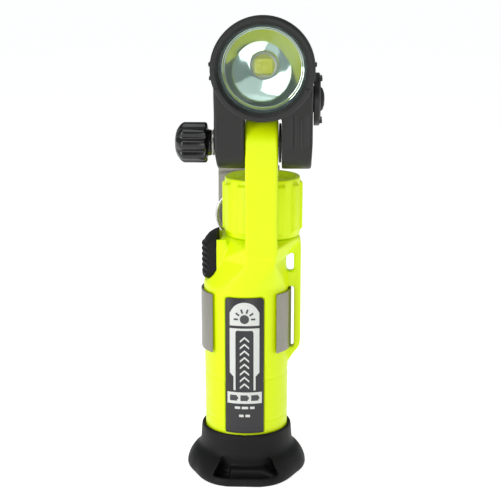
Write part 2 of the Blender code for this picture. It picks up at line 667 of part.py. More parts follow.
def head_housing():
    barrel = [(-26.2, 19.2, 0), (-24.2, 19.2, 0), (-24.2, 20.9, 0), (-20.0, 20.9, 0), (2.8, 19.5, 1),
              (4.0, 18.7, 1)]
    housing = loft("head_housing", [barrel_ring(y * MM, r * MM, drop * (HEAD_Z - REAR_Z)) for y, r, drop in barrel])
    side = arc(PIVOT_Y, PIVOT_Z, LEG_R, 180, 360, 16)
    side += [(-0.1 * MM, 158 * MM), (3.6 * MM, 165 * MM), (3.6 * MM, HEAD_Z), (-24 * MM, HEAD_Z),
             (-24 * MM, 168 * MM), (-21.9 * MM, 161 * MM)]
    block = slab("fork_block", side, "X", *FORK_OUTSIDE, bevel=1.2 * MM)
    join(housing, block)

    fork_gap = box("fork_gap", (FORK_LEFT, -40 * MM, 120 * MM), (FORK_RIGHT, 20 * MM, FORK_TOP))
    front_bore = cylinder("front_bore", 17.4 * MM, -30 * MM, -6.0 * MM, (HEAD_X, HEAD_Z), "Y")
    middle_bore = cylinder("middle_bore", 12.9 * MM, -8 * MM, 6 * MM, (HEAD_X, HEAD_Z), "Y")
    cover_seat = cylinder("cover_seat", 17.6 * MM, 1.8 * MM, 8 * MM, (HEAD_X, REAR_Z), "Y")
    pin_hole = cylinder("pin_hole", PIN_HOLE_R, -20 * MM, 24 * MM, (PIVOT_Y, PIVOT_Z), "X", SMALL)
    nut_pocket = cylinder("nut_pocket", 4.1 * MM, 21.7 * MM, 40 * MM, (PIVOT_Y, PIVOT_Z), "X", SMALL)
    switch_well = cylinder("switch_well", 6.5 * MM, 24 * MM, 40 * MM, (SWITCH_Y, SWITCH_Z), "X", 32)
    lead_way = cylinder("lead_way", 1.2 * MM, 14 * MM, 25 * MM, (SWITCH_Y, SWITCH_Z), "X", 12)
    cut(housing, fork_gap, front_bore, middle_bore, cover_seat, pin_hole, nut_pocket, switch_well, lead_way)
    for x, z in screw_places():
        cut(housing, cylinder("pilot_hole", 1.1 * MM, -4.5 * MM, 2.5 * MM, (x, z), "Y", 12))
    finish(housing, BLACK, TILT_AT)


def screw_places():
    reach = 15.0 * MM
    return [(HEAD_X + reach * math.cos(math.radians(a)), REAR_Z + reach * math.sin(math.radians(a)))
            for a in (45, 135, 225, 315)]


def rear_cover():
    cover = cylinder("rear_cover", 17.3 * MM, 2.1 * MM, 3.9 * MM, (HEAD_X, REAR_Z), "Y")
    for number, (x, z) in enumerate(screw_places(), 1):
        cut(cover, cylinder("screw_way", 1.8 * MM, 0, 10 * MM, (x, z), "Y", 16))
        screw = turned(f"cover_screw_{number}", [(0, 3.8 * MM), (0.8 * MM, 3.8 * MM), (0.8 * MM, -2.2 * MM),
                                                 (1.6 * MM, -2.2 * MM), (1.6 * MM, -3.5 * MM),
                                                 (0, -3.5 * MM)], (x, 0, z), "Y", sides=16)
        finish(screw, STEEL, TILT_AT)
    finish(cover, BLACK, TILT_AT)


def bezel_and_lens():
    bezel = head_turned("bezel_ring", [(17.8, 29.6), (19.2, 31.0), (20.4, 31.0), (21.4, 30.1), (21.4, 24.5),
                                       (19.6, 24.5), (19.6, 29.1), (17.8, 29.1)], closed=True)
    for degrees in (-10, 5, 175, 190):
        angle = math.radians(degrees)
        x = HEAD_X + BEZEL_R * math.cos(angle)
        z = HEAD_Z + BEZEL_R * math.sin(angle)
        join(bezel, box(f"bezel_nub_{degrees}", (x - 0.6 * MM, -29.5 * MM, z - 0.8 * MM),
                        (x + 0.6 * MM, -25.5 * MM, z + 0.8 * MM)))
    finish(bezel, BLACK, (HEAD_X, PIVOT_Y, HEAD_Z))
    finish(head_turned("lens", [(0, 28.8), (19.2, 28.8), (19.2, 27.3), (0, 27.3)]), CLEAR, TILT_AT)
    finish(head_turned("lens_seal", [(17.5, 27.1), (19.0, 27.1), (19.0, 26.5), (17.5, 26.5)], True, 36), SEAL,
           TILT_AT)


def reflector():
    """A parabolic cup: the bright inner face, and an outer face one millimetre behind it."""
    focal = 4.35
    vertex = 9.77
    depths = [2.0, 3.4, 5.4, 8.0, 11.0, 14.0]
    inner = [(math.sqrt(4 * focal * depth), vertex + depth) for depth in depths]
    outer = [(16.5, 26.0), (17.1, 26.0), (17.1, 25.2)]
    outer += [(r + 0.35, z - 1.0) for r, z in inner[-1:0:-1]] + [(inner[0][0], inner[0][1] - 0.2)]
    cup = head_turned("reflector", inner + outer, closed=True, sides=40)
    finish(cup, MIRROR, TILT_AT)


def light_engine():
    sink = head_turned("heat_sink", [(0, 8.4), (17.0, 8.4), (17.0, 6.4), (12.5, 6.4), (12.5, 1.2), (0, 1.2)])
    finish(sink, HEATSINK, TILT_AT)
    finish(head_turned("led_board", [(0, 9.9), (5.6, 9.9), (5.6, 8.7), (0, 8.7)], sides=32), BOARD, TILT_AT)
    chip = box("led_emitter", (HEAD_X - 2.6 * MM, -12.9 * MM, HEAD_Z - 2.1 * MM),
               (HEAD_X + 2.6 * MM, -10.2 * MM, HEAD_Z + 2.1 * MM))
    finish(chip, CHIP, TILT_AT)
    turns = [math.radians(a) for a in range(0, 91, 18)]
    dome = [(5.0 * math.sin(a), 13.2 + 5.0 * math.cos(a)) for a in turns]
    finish(head_turned("led_dome", dome + [(0, 13.2)], sides=32), CLEAR, TILT_AT)
    board = head_turned("driver_board", [(0, 0.9), (12.3, 0.9), (12.3, -0.4), (0, -0.4)], sides=32)
    finish(board, BOARD, TILT_AT)


def side_turned(name, profile, closed=False, sides=ROUND):
    """A turned piece of the head switch; its heights are millimetres along +X."""
    return turned(name, [(r * MM, x * MM) for r, x in profile], (0, SWITCH_Y, SWITCH_Z), "X", closed, sides)


def head_switch():
    ring = side_turned("switch_ring", [(6.0, 31.0), (7.0, 31.6), (9.8, 31.6), (11.1, 31.0), (11.1, 28.8),
                                       (6.0, 28.8)], True)
    for degrees in (62, 118, 242, 298):
        angle = math.radians(degrees)
        y = SWITCH_Y + 9.9 * MM * math.cos(angle)
        z = SWITCH_Z + 9.9 * MM * math.sin(angle)
        join(ring, box(f"ring_nub_{degrees}", (30.5 * MM, y - 0.8 * MM, z - 0.8 * MM),
                       (32.3 * MM, y + 0.8 * MM, z + 0.8 * MM)))
    finish(ring, BLACK, TILT_AT)
    button = side_turned("head_button", [(0, 33.3), (2.4, 33.1), (4.4, 32.4), (5.5, 31.3), (5.6, 30.6),
                                         (5.6, 27.4), (0, 27.4)], sides=32)
    finish(button, RUBBER, (31 * MM, SWITCH_Y, SWITCH_Z))
    finish(side_turned("head_switch", [(0, 25.7), (4.2, 25.7), (4.2, 24.3), (0, 24.3)], sides=SMALL), BLACK,
           TILT_AT)


body_shell()
label_plate()
power_lead()
rubber_boot()
battery_door()
cells_and_contacts()
power_button()
top_cap()
clip_band()
clip_tongue()
split_ring()
pivot_hardware()
head_housing()
rear_cover()
bezel_and_lens()
reflector()
light_engine()
head_switch()
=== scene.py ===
# %% [markdown]
# # A firefighter's right-angle lamp
# This notebook dresses a finished mechanical model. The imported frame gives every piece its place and
# the bodies that move. Here each visible piece gets its real surface: moulded, turned or bent as the
# real one is made, with a material worked out from what it is.

import json
import math

import bmesh
import bpy
from mathutils import Matrix, Vector

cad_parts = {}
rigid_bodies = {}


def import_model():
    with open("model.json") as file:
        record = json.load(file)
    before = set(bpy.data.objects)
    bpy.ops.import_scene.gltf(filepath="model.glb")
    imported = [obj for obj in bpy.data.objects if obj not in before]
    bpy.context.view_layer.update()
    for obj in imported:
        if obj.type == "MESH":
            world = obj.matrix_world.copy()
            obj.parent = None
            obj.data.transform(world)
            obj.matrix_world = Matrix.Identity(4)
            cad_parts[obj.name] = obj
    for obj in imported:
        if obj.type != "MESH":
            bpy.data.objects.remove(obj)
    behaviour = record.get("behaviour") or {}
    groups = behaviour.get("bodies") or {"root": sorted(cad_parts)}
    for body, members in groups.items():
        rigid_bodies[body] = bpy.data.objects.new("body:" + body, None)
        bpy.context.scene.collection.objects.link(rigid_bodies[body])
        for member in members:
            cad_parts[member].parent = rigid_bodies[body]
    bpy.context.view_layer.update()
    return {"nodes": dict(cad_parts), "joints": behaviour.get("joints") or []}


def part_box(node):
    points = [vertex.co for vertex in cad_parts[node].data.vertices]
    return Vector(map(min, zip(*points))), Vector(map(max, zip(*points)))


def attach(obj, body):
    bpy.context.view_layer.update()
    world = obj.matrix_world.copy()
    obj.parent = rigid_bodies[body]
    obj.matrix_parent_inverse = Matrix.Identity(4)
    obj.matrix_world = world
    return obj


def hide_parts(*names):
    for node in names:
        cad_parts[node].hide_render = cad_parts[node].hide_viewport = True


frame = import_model()
joints = {joint["name"]: joint for joint in frame["joints"]}
print("nodes:", len(frame["nodes"]), "joints:", len(joints))

# %% [markdown]
# ## Measures
# The script works in metres, so a millimetre gets a name. The axes that pieces turn about could be
# typed in again, but then they could disagree with the model, so they come from its own joints.

# %% Places that come from the frame
MM = 0.001
pivot = Vector(joints["head_tilt"]["pos_m"])
head_axis = Vector(joints["bezel_turn"]["pos_m"])
cap_axis = Vector(joints["top_cap_turn"]["pos_m"])
clip_hinge = Vector(joints["clip_flex"]["pos_m"])
ring_hang = Vector(joints["ring_swing"]["pos_m"])
switch_low, switch_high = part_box("switch_ring")
switch_axis = (switch_low + switch_high) / 2
print("pivot", pivot[:], "head axis height", round(head_axis.z, 4), "cap axis", cap_axis[:])

# %% [markdown]
# The rest of the lamp follows from a few driving dimensions: the tube that holds the cells, the cap
# beside the mast, the mast itself and the fork that straddles it. Moving parts keep one gap.

# %% Driving dimensions of the lamp
GAP = 0.3 * MM
TUBE_LOW, TUBE_TOP = 10.1 * MM, 85.0 * MM
TUBE_LOW_R, TUBE_TOP_R = 18.2 * MM, 18.7 * MM
BORE_R, BORE_TOP = 16.0 * MM, 79.0 * MM
CAP_R, CAP_SEAT = 16.4 * MM, 106.0 * MM
WAIST_X, WAIST_Y, WAIST_R, WAIST_Z = 1.6 * MM, 0.5 * MM, 15.9 * MM, 97.0 * MM
NECK_R, NECK_TOP = 12.6 * MM, 116.0 * MM
CHAMBER_X, CHAMBER_Y, CHAMBER_R = 6.0 * MM, 1.0 * MM, 9.6 * MM
MAST_X, MAST_HALF, MAST_FRONT, MAST_BACK = 7.2 * MM, 6.85 * MM, -21.2 * MM, -16.6 * MM
CABLE_HALF = 1.3 * MM
BOSS_R, PIN_HOLE_R, LEG_R = 10.2 * MM, 2.3 * MM, 10.9 * MM
BUTTON_Z, BUTTON_SEAT = 98.15 * MM, -12.3 * MM
BUTTON_TRAVEL, PLUNGER_HOLE_R = 1.0 * MM, 3.8 * MM
BUTTON_FLOOR = BUTTON_SEAT + BUTTON_TRAVEL + GAP
BEZEL_R = 21.4 * MM
FORK_LEFT, FORK_RIGHT, FORK_TOP = 0.0 * MM, 15.6 * MM, 159.4 * MM
FORK_OUT_LEFT, FORK_OUT_RIGHT, REAR_Z = -12.6 * MM, 28.5 * MM, 179.4 * MM
STRIP, CLIP_HALF = 0.9 * MM, 13.8 * MM
LABEL_HALF, LABEL_LOW, LABEL_HIGH = 8.3 * MM, 20.6 * MM, 81.8 * MM
print("tube", TUBE_LOW_R / MM, "to", TUBE_TOP_R / MM, "mm in radius")

# %% [markdown]
# ## Outlines
# Most pieces start as a side view: a few corner points. Real moulded corners are never sharp, so one
# helper rounds a corner with a short curve. A corner may carry its own radius as a third number.

# %% Outline helpers
def arc(centre_a, centre_b, radius, start, end, steps=12):
    """Points on an arc between two angles in degrees."""
    turn = [math.radians(start + (end - start) * i / steps) for i in range(steps + 1)]
    return [(centre_a + radius * math.cos(a), centre_b + radius * math.sin(a)) for a in turn]


def soften(points, radius, closed=False, steps=4):
    """Rounds the corners of a path; the ends of an open path stay where they are."""
    result = []
    for i, point in enumerate(points):
        if not closed and i in (0, len(points) - 1):
            result.append(tuple(point[:2]))
            continue
        here = Vector(point[:2])
        before = Vector(points[i - 1][:2]) - here
        after = Vector(points[(i + 1) % len(points)][:2]) - here
        angle = before.angle(after, math.pi)
        wanted = point[2] if len(point) > 2 else radius
        if wanted <= 0 or angle > math.radians(172):
            result.append(tuple(here))
            continue
        reach = min(wanted / math.tan(angle / 2), 0.48 * before.length, 0.48 * after.length)
        first, last = here + before.normalized() * reach, here + after.normalized() * reach
        for s in range(steps + 1):
            t = s / steps
            result.append(tuple(first * (1 - t) ** 2 + here * (2 * t * (1 - t)) + last * t * t))
    return result


def scaled(points, unit=MM):
    return [tuple(value * unit for value in point) for point in points]


print("corner test:", len(soften([(0, 0), (1, 0), (1, 1)], 0.2)), "points")

# %% [markdown]
# ## Turning, pulling and wrapping
# A turned piece is a profile spun round its axis, as on a lathe. A flat piece is an outline pulled
# along an axis. A shoulder between two rings is the skin stretched over both, which is a convex hull.

# %% Mesh helpers
FACING = {
    "up": Matrix.Identity(4),
    "front": Matrix.Rotation(math.pi / 2, 4, "X"),
    "right": Matrix.Rotation(math.pi / 2, 4, "Y"),
}


def turned(profile, centre, facing="up", steps=128, closed=False):
    """A profile of (radius, height) spun round an axis that points up, front or right."""
    bm = bmesh.new()
    verts = [bm.verts.new((radius, 0, height)) for radius, height in profile]
    edges = [bm.edges.new(pair) for pair in zip(verts, verts[1:])]
    if closed:
        edges.append(bm.edges.new((verts[-1], verts[0])))
    bmesh.ops.spin(bm, geom=verts + edges, cent=(0, 0, 0), axis=(0, 0, 1), angle=2 * math.pi,
                   steps=steps, use_merge=True)
    bmesh.ops.remove_doubles(bm, verts=bm.verts, dist=1e-6)
    bmesh.ops.transform(bm, matrix=Matrix.Translation(centre) @ FACING[facing], verts=bm.verts)
    bmesh.ops.recalc_face_normals(bm, faces=bm.faces)
    return bm


def pulled(outline, axis, low, high, edge=0.0, segments=3):
    """An outline on the other two axes pulled from low to high, with its rim edges rounded."""
    bm = bmesh.new()
    place = {"X": lambda a, b: (low, a, b), "Y": lambda a, b: (a, low, b), "Z": lambda a, b: (a, b, low)}
    face = bm.faces.new([bm.verts.new(place[axis](a, b)) for a, b in outline])
    grown = bmesh.ops.extrude_face_region(bm, geom=[face])
    moved = [item for item in grown["geom"] if isinstance(item, bmesh.types.BMVert)]
    shift = Vector((0, 0, 0))
    shift["XYZ".index(axis)] = high - low
    bmesh.ops.translate(bm, vec=shift, verts=moved)
    bmesh.ops.recalc_face_normals(bm, faces=bm.faces)
    if edge:
        caps = sorted(bm.faces, key=lambda f: len(f.verts))[-2:]
        rim = {e for cap in caps for e in cap.edges}
        bmesh.ops.bevel(bm, geom=list(rim), offset=edge, segments=segments, profile=0.5,
                        affect="EDGES", material=-1, clamp_overlap=True)
    return bm


def drum(radius, low, high, centre=(0, 0), axis="Z", steps=96, top_radius=None):
    """A plain cylinder or cone from low to high along an axis."""
    bm = bmesh.new()
    bmesh.ops.create_cone(bm, cap_ends=True, segments=steps, radius1=radius,
                          radius2=radius if top_radius is None else top_radius, depth=high - low)
    a, b, middle = *centre, (low + high) / 2
    place = {"Z": Matrix.Translation((a, b, middle)),
             "Y": Matrix.Translation((a, middle, b)) @ Matrix.Rotation(-math.pi / 2, 4, "X"),
             "X": Matrix.Translation((middle, a, b)) @ FACING["right"]}[axis]
    bmesh.ops.transform(bm, matrix=place, verts=bm.verts)
    return bm


def block(low, high, edge=0.0):
    """A box between two corners, with rounded edges."""
    bm = bmesh.new()
    bmesh.ops.create_cube(bm, size=1.0)
    low, high = Vector(low), Vector(high)
    bmesh.ops.scale(bm, vec=high - low, verts=bm.verts)
    bmesh.ops.translate(bm, vec=(low + high) / 2, verts=bm.verts)
    if edge:
        bmesh.ops.bevel(bm, geom=bm.edges[:], offset=edge, segments=3, profile=0.5, affect="EDGES",
                        material=-1)
    return bm


def stretched(points):
    """The skin over a cloud of points."""
    bm = bmesh.new()
    for point in points:
        bm.verts.new(point)
    hull = bmesh.ops.convex_hull(bm, input=bm.verts)
    inner = [item for item in hull["geom_interior"] if isinstance(item, bmesh.types.BMVert)]
    bmesh.ops.delete(bm, geom=inner, context="VERTS")
    bmesh.ops.recalc_face_normals(bm, faces=bm.faces)
    return bm


def lofted(rings):
    """Closed rings of equal point counts bridged one after another, with both ends closed."""
    bm = bmesh.new()
    loops = []
    for ring in rings:
        verts = [bm.verts.new(point) for point in ring]
        loops.append([bm.edges.new((verts[i - 1], verts[i])) for i in range(len(verts))])
    for lower, upper in zip(loops, loops[1:]):
        bmesh.ops.bridge_loops(bm, edges=lower + upper)
    for end in (loops[0], loops[-1]):
        bmesh.ops.edgeloop_fill(bm, edges=end)
    bmesh.ops.recalc_face_normals(bm, faces=bm.faces)
    return bm


print("helpers: turned, pulled, drum, block, stretched, lofted")

# %% [markdown]
# ## Joining, cutting and moulding
# Booleans join and cut plain solids. A moulded part has no sharp corner anywhere, so the joined solid
# is rebuilt as a fine even skin and relaxed a little. That gives every edge the small radius that a
# mould gives, without asking a bevel to survive a dozen cuts.

# %% Solid helpers
def as_object(name, bm):
    """An object that owns the finished bmesh."""
    mesh = bpy.data.meshes.new(name)
    bm.to_mesh(mesh)
    bm.free()
    obj = bpy.data.objects.new(name, mesh)
    bpy.context.scene.collection.objects.link(obj)
    return obj


def settle(obj):
    """Replaces an object's mesh with what its modifiers make of it."""
    depsgraph = bpy.context.evaluated_depsgraph_get()
    made = bpy.data.meshes.new_from_object(obj.evaluated_get(depsgraph))
    obj.modifiers.clear()
    obj.data = made
    return obj


def combine(obj, others, operation):
    """Joins the other shapes to an object, or cuts them from it, one after another."""
    for other in others:
        tool = as_object(f"{obj.name}_tool", other)
        step = obj.modifiers.new("step", "BOOLEAN")
        step.operation = operation
        step.object = tool
        step.solver = "EXACT"
        settle(obj)
        bpy.data.objects.remove(tool, do_unlink=True)
    return obj


def cut_shape(bm, tools, operation):
    """A solid made from one shape and a boolean with others, as a mesh that can cut or join again."""
    obj = combine(as_object("shape", bm), tools, operation)
    result = bmesh.new()
    result.from_mesh(obj.data)
    bpy.data.objects.remove(obj, do_unlink=True)
    return result


def moulded(obj, grain, rounds):
    """Rebuilds the solid as an even skin and relaxes it, which rounds every edge."""
    remesh = obj.modifiers.new("skin", "REMESH")
    remesh.mode = "VOXEL"
    remesh.voxel_size = grain
    relax = obj.modifiers.new("relax", "SMOOTH")
    relax.factor = 0.5
    relax.iterations = rounds
    return settle(obj)


def piece(obj, material, body, replaces=(), sharp=40):
    """Gives a finished object, or a (name, bmesh) pair, its material, shading and body."""
    if isinstance(obj, tuple):
        obj = as_object(*obj)
    obj.data.materials.clear()
    obj.data.materials.append(material)
    obj.data.shade_smooth()
    obj.data.set_sharp_from_angle(angle=math.radians(sharp))
    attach(obj, body)
    if replaces:
        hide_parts(*replaces)
    print(f"{obj.name}: {len(obj.data.polygons)} faces, rides on {body}")
    return obj


print("helpers: as_object, settle, combine, cut_shape, moulded, piece")

# %% [markdown]
# ## Materials
# Each material is named for what the real one is. Colours are given as hex values, as a paint chart
# gives them, and turned to linear light by one function. Patterns use Object coordinates in metres,
# so a grain of half a millimetre is a scale of one over 0.0005.

# %% Material helpers
def linear(hex_colour):
    """An sRGB hex colour as linear red, green, blue and alpha."""
    channels = [int(hex_colour[i:i + 2], 16) / 255 for i in (1, 3, 5)]
    return [c / 12.92 if c <= 0.04045 else ((c + 0.055) / 1.055) ** 2.4 for c in channels] + [1.0]


def add(tree, kind, inputs=None, **settings):
    """Adds a node, sets its properties, then sets or links its inputs."""
    node = tree.nodes.new(kind)
    for name, value in settings.items():
        setattr(node, name, value)
    for socket, value in (inputs or {}).items():
        if isinstance(value, bpy.types.NodeSocket):
            tree.links.new(value, node.inputs[socket])
        else:
            node.inputs[socket].default_value = value
    return node


def surface(name, colour, roughness, metallic=0.0, **sockets):
    """A material with one Principled shader; sockets are set on the shader itself."""
    material = bpy.data.materials.new(name)
    material.use_nodes = True
    shader = material.node_tree.nodes["Principled BSDF"]
    shader.inputs["Base Color"].default_value = linear(colour)
    shader.inputs["Roughness"].default_value = roughness
    shader.inputs["Metallic"].default_value = metallic
    for socket, value in sockets.items():
        shader.inputs[socket.replace("_", " ")].default_value = value
    return material, material.node_tree, shader


def two_tones(tree, shader, pattern, tones):
    """Lets a pattern run the surface's colour from one hex tone to another."""
    mix = add(tree, "ShaderNodeMix", {"Factor": pattern}, data_type="RGBA")
    mix.inputs["A"].default_value, mix.inputs["B"].default_value = linear(tones[0]), linear(tones[1])
    tree.links.new(mix.outputs["Result"], shader.inputs["Base Color"])


def grained(tree, shader, grain, height, roughness, spread, tones=None, patch=8 * MM):
    """Moulding texture: a fine grain in height, and slow changes of gloss and of colour.

    grain and patch are feature sizes and height is the bump's depth, all in metres.
    """
    place = add(tree, "ShaderNodeTexCoord").outputs["Object"]
    fine = add(tree, "ShaderNodeTexNoise",
               {"Vector": place, "Scale": 1 / grain, "Detail": 3.0, "Roughness": 0.6})
    slow = add(tree, "ShaderNodeTexNoise",
               {"Vector": place, "Scale": 1 / patch, "Detail": 4.0, "Roughness": 0.55})
    gloss = add(tree, "ShaderNodeMapRange",
                {"Value": slow.outputs["Fac"], "From Min": 0.3, "From Max": 0.7,
                 "To Min": roughness - spread, "To Max": roughness + spread})
    tree.links.new(gloss.outputs["Result"], shader.inputs["Roughness"])
    bump = add(tree, "ShaderNodeBump", {"Height": fine.outputs["Fac"], "Distance": height, "Strength": 1.0})
    tree.links.new(bump.outputs["Normal"], shader.inputs["Normal"])
    if tones:
        two_tones(tree, shader, slow.outputs["Fac"], tones)


print("yellow-green in linear light:", [round(value, 3) for value in linear("#D8EE00")])

# %% [markdown]
# ### Lime polycarbonate
# High-visibility housings are moulded in polycarbonate with a daylight-fluorescent pigment. The
# pigment gives back more yellow-green light than a plain paint could, so a weak glow is added. The
# mould is lightly spark-textured, which breaks up the reflections.

# %% Lime polycarbonate
lime_pc, tree, shader = surface("lime_polycarbonate", "#DCF200", 0.36, IOR=1.58, Specular_IOR_Level=0.2)
shader.inputs["Emission Color"].default_value = linear("#CDF000")
shader.inputs["Emission Strength"].default_value = 0.06
grained(tree, shader, 0.45 * MM, 0.012 * MM, 0.36, 0.05, ("#D8EE00", "#D0E700"))
print(lime_pc.name)

# %% [markdown]
# ### Black nylon, black rubber and gloss black
# The head is glass-filled nylon: near black, satin, with a faint grain. The bezel and the rear cover
# come from a mould with a coarse spark texture, which shows as grey speckle. The boot and the buttons
# are rubber, which is duller. The knob is a hard phenolic with a moulded gloss.

# %% Black finishes
black_nylon, tree, shader = surface("glass_filled_nylon", "#131411", 0.40, IOR=1.53,
                                    Specular_IOR_Level=0.33)
grained(tree, shader, 0.5 * MM, 0.02 * MM, 0.40, 0.07, ("#10110F", "#1C1D1A"), 3 * MM)
spark_nylon, tree, shader = surface("spark_textured_nylon", "#131413", 0.5, IOR=1.53,
                                    Specular_IOR_Level=0.3)
grained(tree, shader, 0.7 * MM, 0.06 * MM, 0.5, 0.08, ("#0C0D0C", "#2A2B29"), 1.2 * MM)
black_rubber, tree, shader = surface("black_rubber", "#0C0C0C", 0.58, IOR=1.52, Specular_IOR_Level=0.22)
grained(tree, shader, 0.6 * MM, 0.02 * MM, 0.58, 0.06, ("#080808", "#101010"), 6 * MM)
gloss_black, tree, shader = surface("phenolic_gloss_black", "#0A0A0A", 0.2, IOR=1.5)
grained(tree, shader, 0.8 * MM, 0.006 * MM, 0.2, 0.05, ("#080808", "#0F0F0F"), 4 * MM)
print(black_nylon.name, spark_nylon.name, black_rubber.name, gloss_black.name)

# %% [markdown]
# ### Rolled steel strip
# The clip is stainless strip. Rolling leaves fine scratches along its length, so the noise is
# stretched in one direction: many lines across, few along. Real scratches are finer than a tenth of
# a millimetre and would not show, so they are drawn at a third of a millimetre.

# %% Steel finishes
def brushed(name, colour, roughness, direction, tones):
    """Brushed metal; direction scales the noise, so a small value stretches it along that axis."""
    material, tree, shader = surface(name, colour, roughness, 1.0)
    place = add(tree, "ShaderNodeTexCoord").outputs["Object"]
    squeeze = add(tree, "ShaderNodeMapping", {"Vector": place, "Scale": direction})
    lines = add(tree, "ShaderNodeTexNoise", {"Vector": squeeze.outputs["Vector"], "Scale": 1 / (0.33 * MM),
                                             "Detail": 4.0, "Roughness": 0.65})
    smudge = add(tree, "ShaderNodeTexNoise", {"Vector": place, "Scale": 1 / (7 * MM), "Detail": 3.0})
    gloss = add(tree, "ShaderNodeMapRange", {"Value": smudge.outputs["Fac"], "To Min": roughness - 0.08,
                                             "To Max": roughness + 0.12})
    tree.links.new(gloss.outputs["Result"], shader.inputs["Roughness"])
    two_tones(tree, shader, lines.outputs["Fac"], tones)
    bump = add(tree, "ShaderNodeBump", {"Height": lines.outputs["Fac"], "Distance": 0.01 * MM})
    tree.links.new(bump.outputs["Normal"], shader.inputs["Normal"])
    return material


clip_steel = brushed("rolled_stainless_strip", "#8C8A82", 0.32, (1.0, 1.0, 0.03), ("#76746B", "#9E9C93"))
wire_steel = brushed("drawn_stainless_wire", "#B9B9B4", 0.22, (1.0, 1.0, 1.0), ("#A9A9A3", "#CDCDC9"))
screw_steel = brushed("zinc_plated_steel", "#9C9C96", 0.3, (0.1, 1.0, 1.0), ("#87877F", "#B5B5AE"))
print(clip_steel.name, wire_steel.name, screw_steel.name)

# %% [markdown]
# ### Label and optics
# The label is printed film. The reflector is bare evaporated aluminium on plastic, with the faint
# orange-peel of its base coat. The lens is hard-coated polycarbonate. Real refraction would be the
# exact way, but it keeps the studio's light out of the bowl, so the lens is made see-through
# with alpha. The small dome is refracting silicone moulded round the chip: it magnifies the yellow
# phosphor, and the bowl mirrors that colour. The dome also keeps the studio's light off the chip, so
# the unlit phosphor is given a weak painted glow in place of that light.

# %% Label and optic finishes
label_film, tree, shader = surface("polyester_label_film", "#2C2B2E", 0.4, IOR=1.57, Specular_IOR_Level=0.3)
grained(tree, shader, 0.4 * MM, 0.004 * MM, 0.38, 0.05, ("#2A292C", "#302F32"), 5 * MM)
pale_print, tree, shader = surface("pale_grey_ink", "#CDCFCB", 0.5)
grained(tree, shader, 0.3 * MM, 0.003 * MM, 0.5, 0.05, ("#C8CAC5", "#D3D5D1"), 2 * MM)
dark_print, tree, shader = surface("dark_grey_ink", "#3A3A3C", 0.5)
grained(tree, shader, 0.3 * MM, 0.003 * MM, 0.5, 0.05, ("#363638", "#414143"), 2 * MM)
reflector_metal, tree, shader = surface("evaporated_aluminium", "#DCEAE5", 0.05, 1.0)
grained(tree, shader, 2.2 * MM, 0.004 * MM, 0.06, 0.02, ("#D0E2DD", "#E6F1ED"), 5 * MM)
lens_plastic, tree, shader = surface("hard_coated_polycarbonate", "#7FA39B", 0.03, IOR=1.58, Alpha=0.08)
grained(tree, shader, 3 * MM, 0.002 * MM, 0.035, 0.01, ("#76998F", "#88ACA4"), 9 * MM)
dome_silicone, tree, shader = surface("led_silicone", "#FFFFFF", 0.02, IOR=1.41, Transmission_Weight=1.0)
grained(tree, shader, 2 * MM, 0.001 * MM, 0.025, 0.01)
phosphor, tree, shader = surface("yellow_phosphor", "#C8CC14", 0.6)
# Painted glow: the lamp is off, and this weak emission stands in for the studio light that the refracting
# dome keeps off the chip.
shader.inputs["Emission Color"].default_value = linear("#D6D81A")
shader.inputs["Emission Strength"].default_value = 0.22
grained(tree, shader, 0.3 * MM, 0.01 * MM, 0.6, 0.05, ("#BEC20C", "#D2D61E"), 0.8 * MM)
print(reflector_metal.name, lens_plastic.name, phosphor.name)

# %% [markdown]
# ### The inside
# Behind the shell sit cells, contacts, boards, seals and screws. They are seldom seen, so they keep
# the frame's own shapes and only get their finishes. One table says which piece has which.

# %% Finishes of the inner pieces
solder_mask, tree, shader = surface("green_solder_mask", "#1E6B3A", 0.35)
grained(tree, shader, 0.5 * MM, 0.01 * MM, 0.35, 0.05, ("#1B6335", "#237342"), 3 * MM)
white_mask, tree, shader = surface("white_solder_mask", "#E9ECE6", 0.35)
grained(tree, shader, 0.5 * MM, 0.01 * MM, 0.35, 0.05, ("#E2E6DF", "#F0F2ED"), 3 * MM)
cell_film, tree, shader = surface("cell_shrink_film", "#1C2A58", 0.3, Coat_Weight=0.4)
grained(tree, shader, 0.6 * MM, 0.01 * MM, 0.3, 0.05, ("#18244C", "#243469"), 8 * MM)
nickel = brushed("nickel_plate", "#C9C0A8", 0.25, (1.0, 1.0, 1.0), ("#BDB49C", "#D6CEB8"))
cast_aluminium = brushed("machined_aluminium", "#C6C8CA", 0.35, (1.0, 0.1, 1.0), ("#B4B6B8", "#D4D6D8"))
seal_rubber, tree, shader = surface("nitrile_rubber", "#151515", 0.5)
grained(tree, shader, 0.4 * MM, 0.01 * MM, 0.5, 0.05, ("#121212", "#1C1C1C"), 3 * MM)
INNER = {
    **{f"battery_{number}": cell_film for number in (1, 2, 3)},
    **{f"contact_spring_{number}": nickel for number in (1, 2, 3)},
    "upper_contact": nickel, "lower_contact": nickel, "base_magnet": nickel,
    "contact_carrier": black_nylon, "tail_cap": black_nylon, "tactile_switch": black_nylon,
    "head_switch": black_nylon, "power_lead": seal_rubber, "switch_board": solder_mask,
    "driver_board": solder_mask, "tail_cap_seal": seal_rubber, "top_cap_seal": seal_rubber,
    "lens_seal": seal_rubber, "heat_sink": cast_aluminium, "pivot_screw": screw_steel,
}
for name, finish in INNER.items():
    node = frame["nodes"][name]
    node.data.materials.clear()
    node.data.materials.append(finish)
print(len(INNER), "inner nodes dressed")

# %% [markdown]
# ## The body shell
# Tube, shoulder, mast and gear bar are one moulding. Its bulk could be one long loft, but the mast
# and the bar would need their own cages. Plain solids joined together are simpler, and their outlines
# stay few points each. First come those outlines.

# %% Outlines of the body
def ring_points(x, y, radius, height, steps=96):
    """A level circle of points."""
    return [(x + radius * math.cos(2 * math.pi * i / steps), y + radius * math.sin(2 * math.pi * i / steps),
             height) for i in range(steps)]


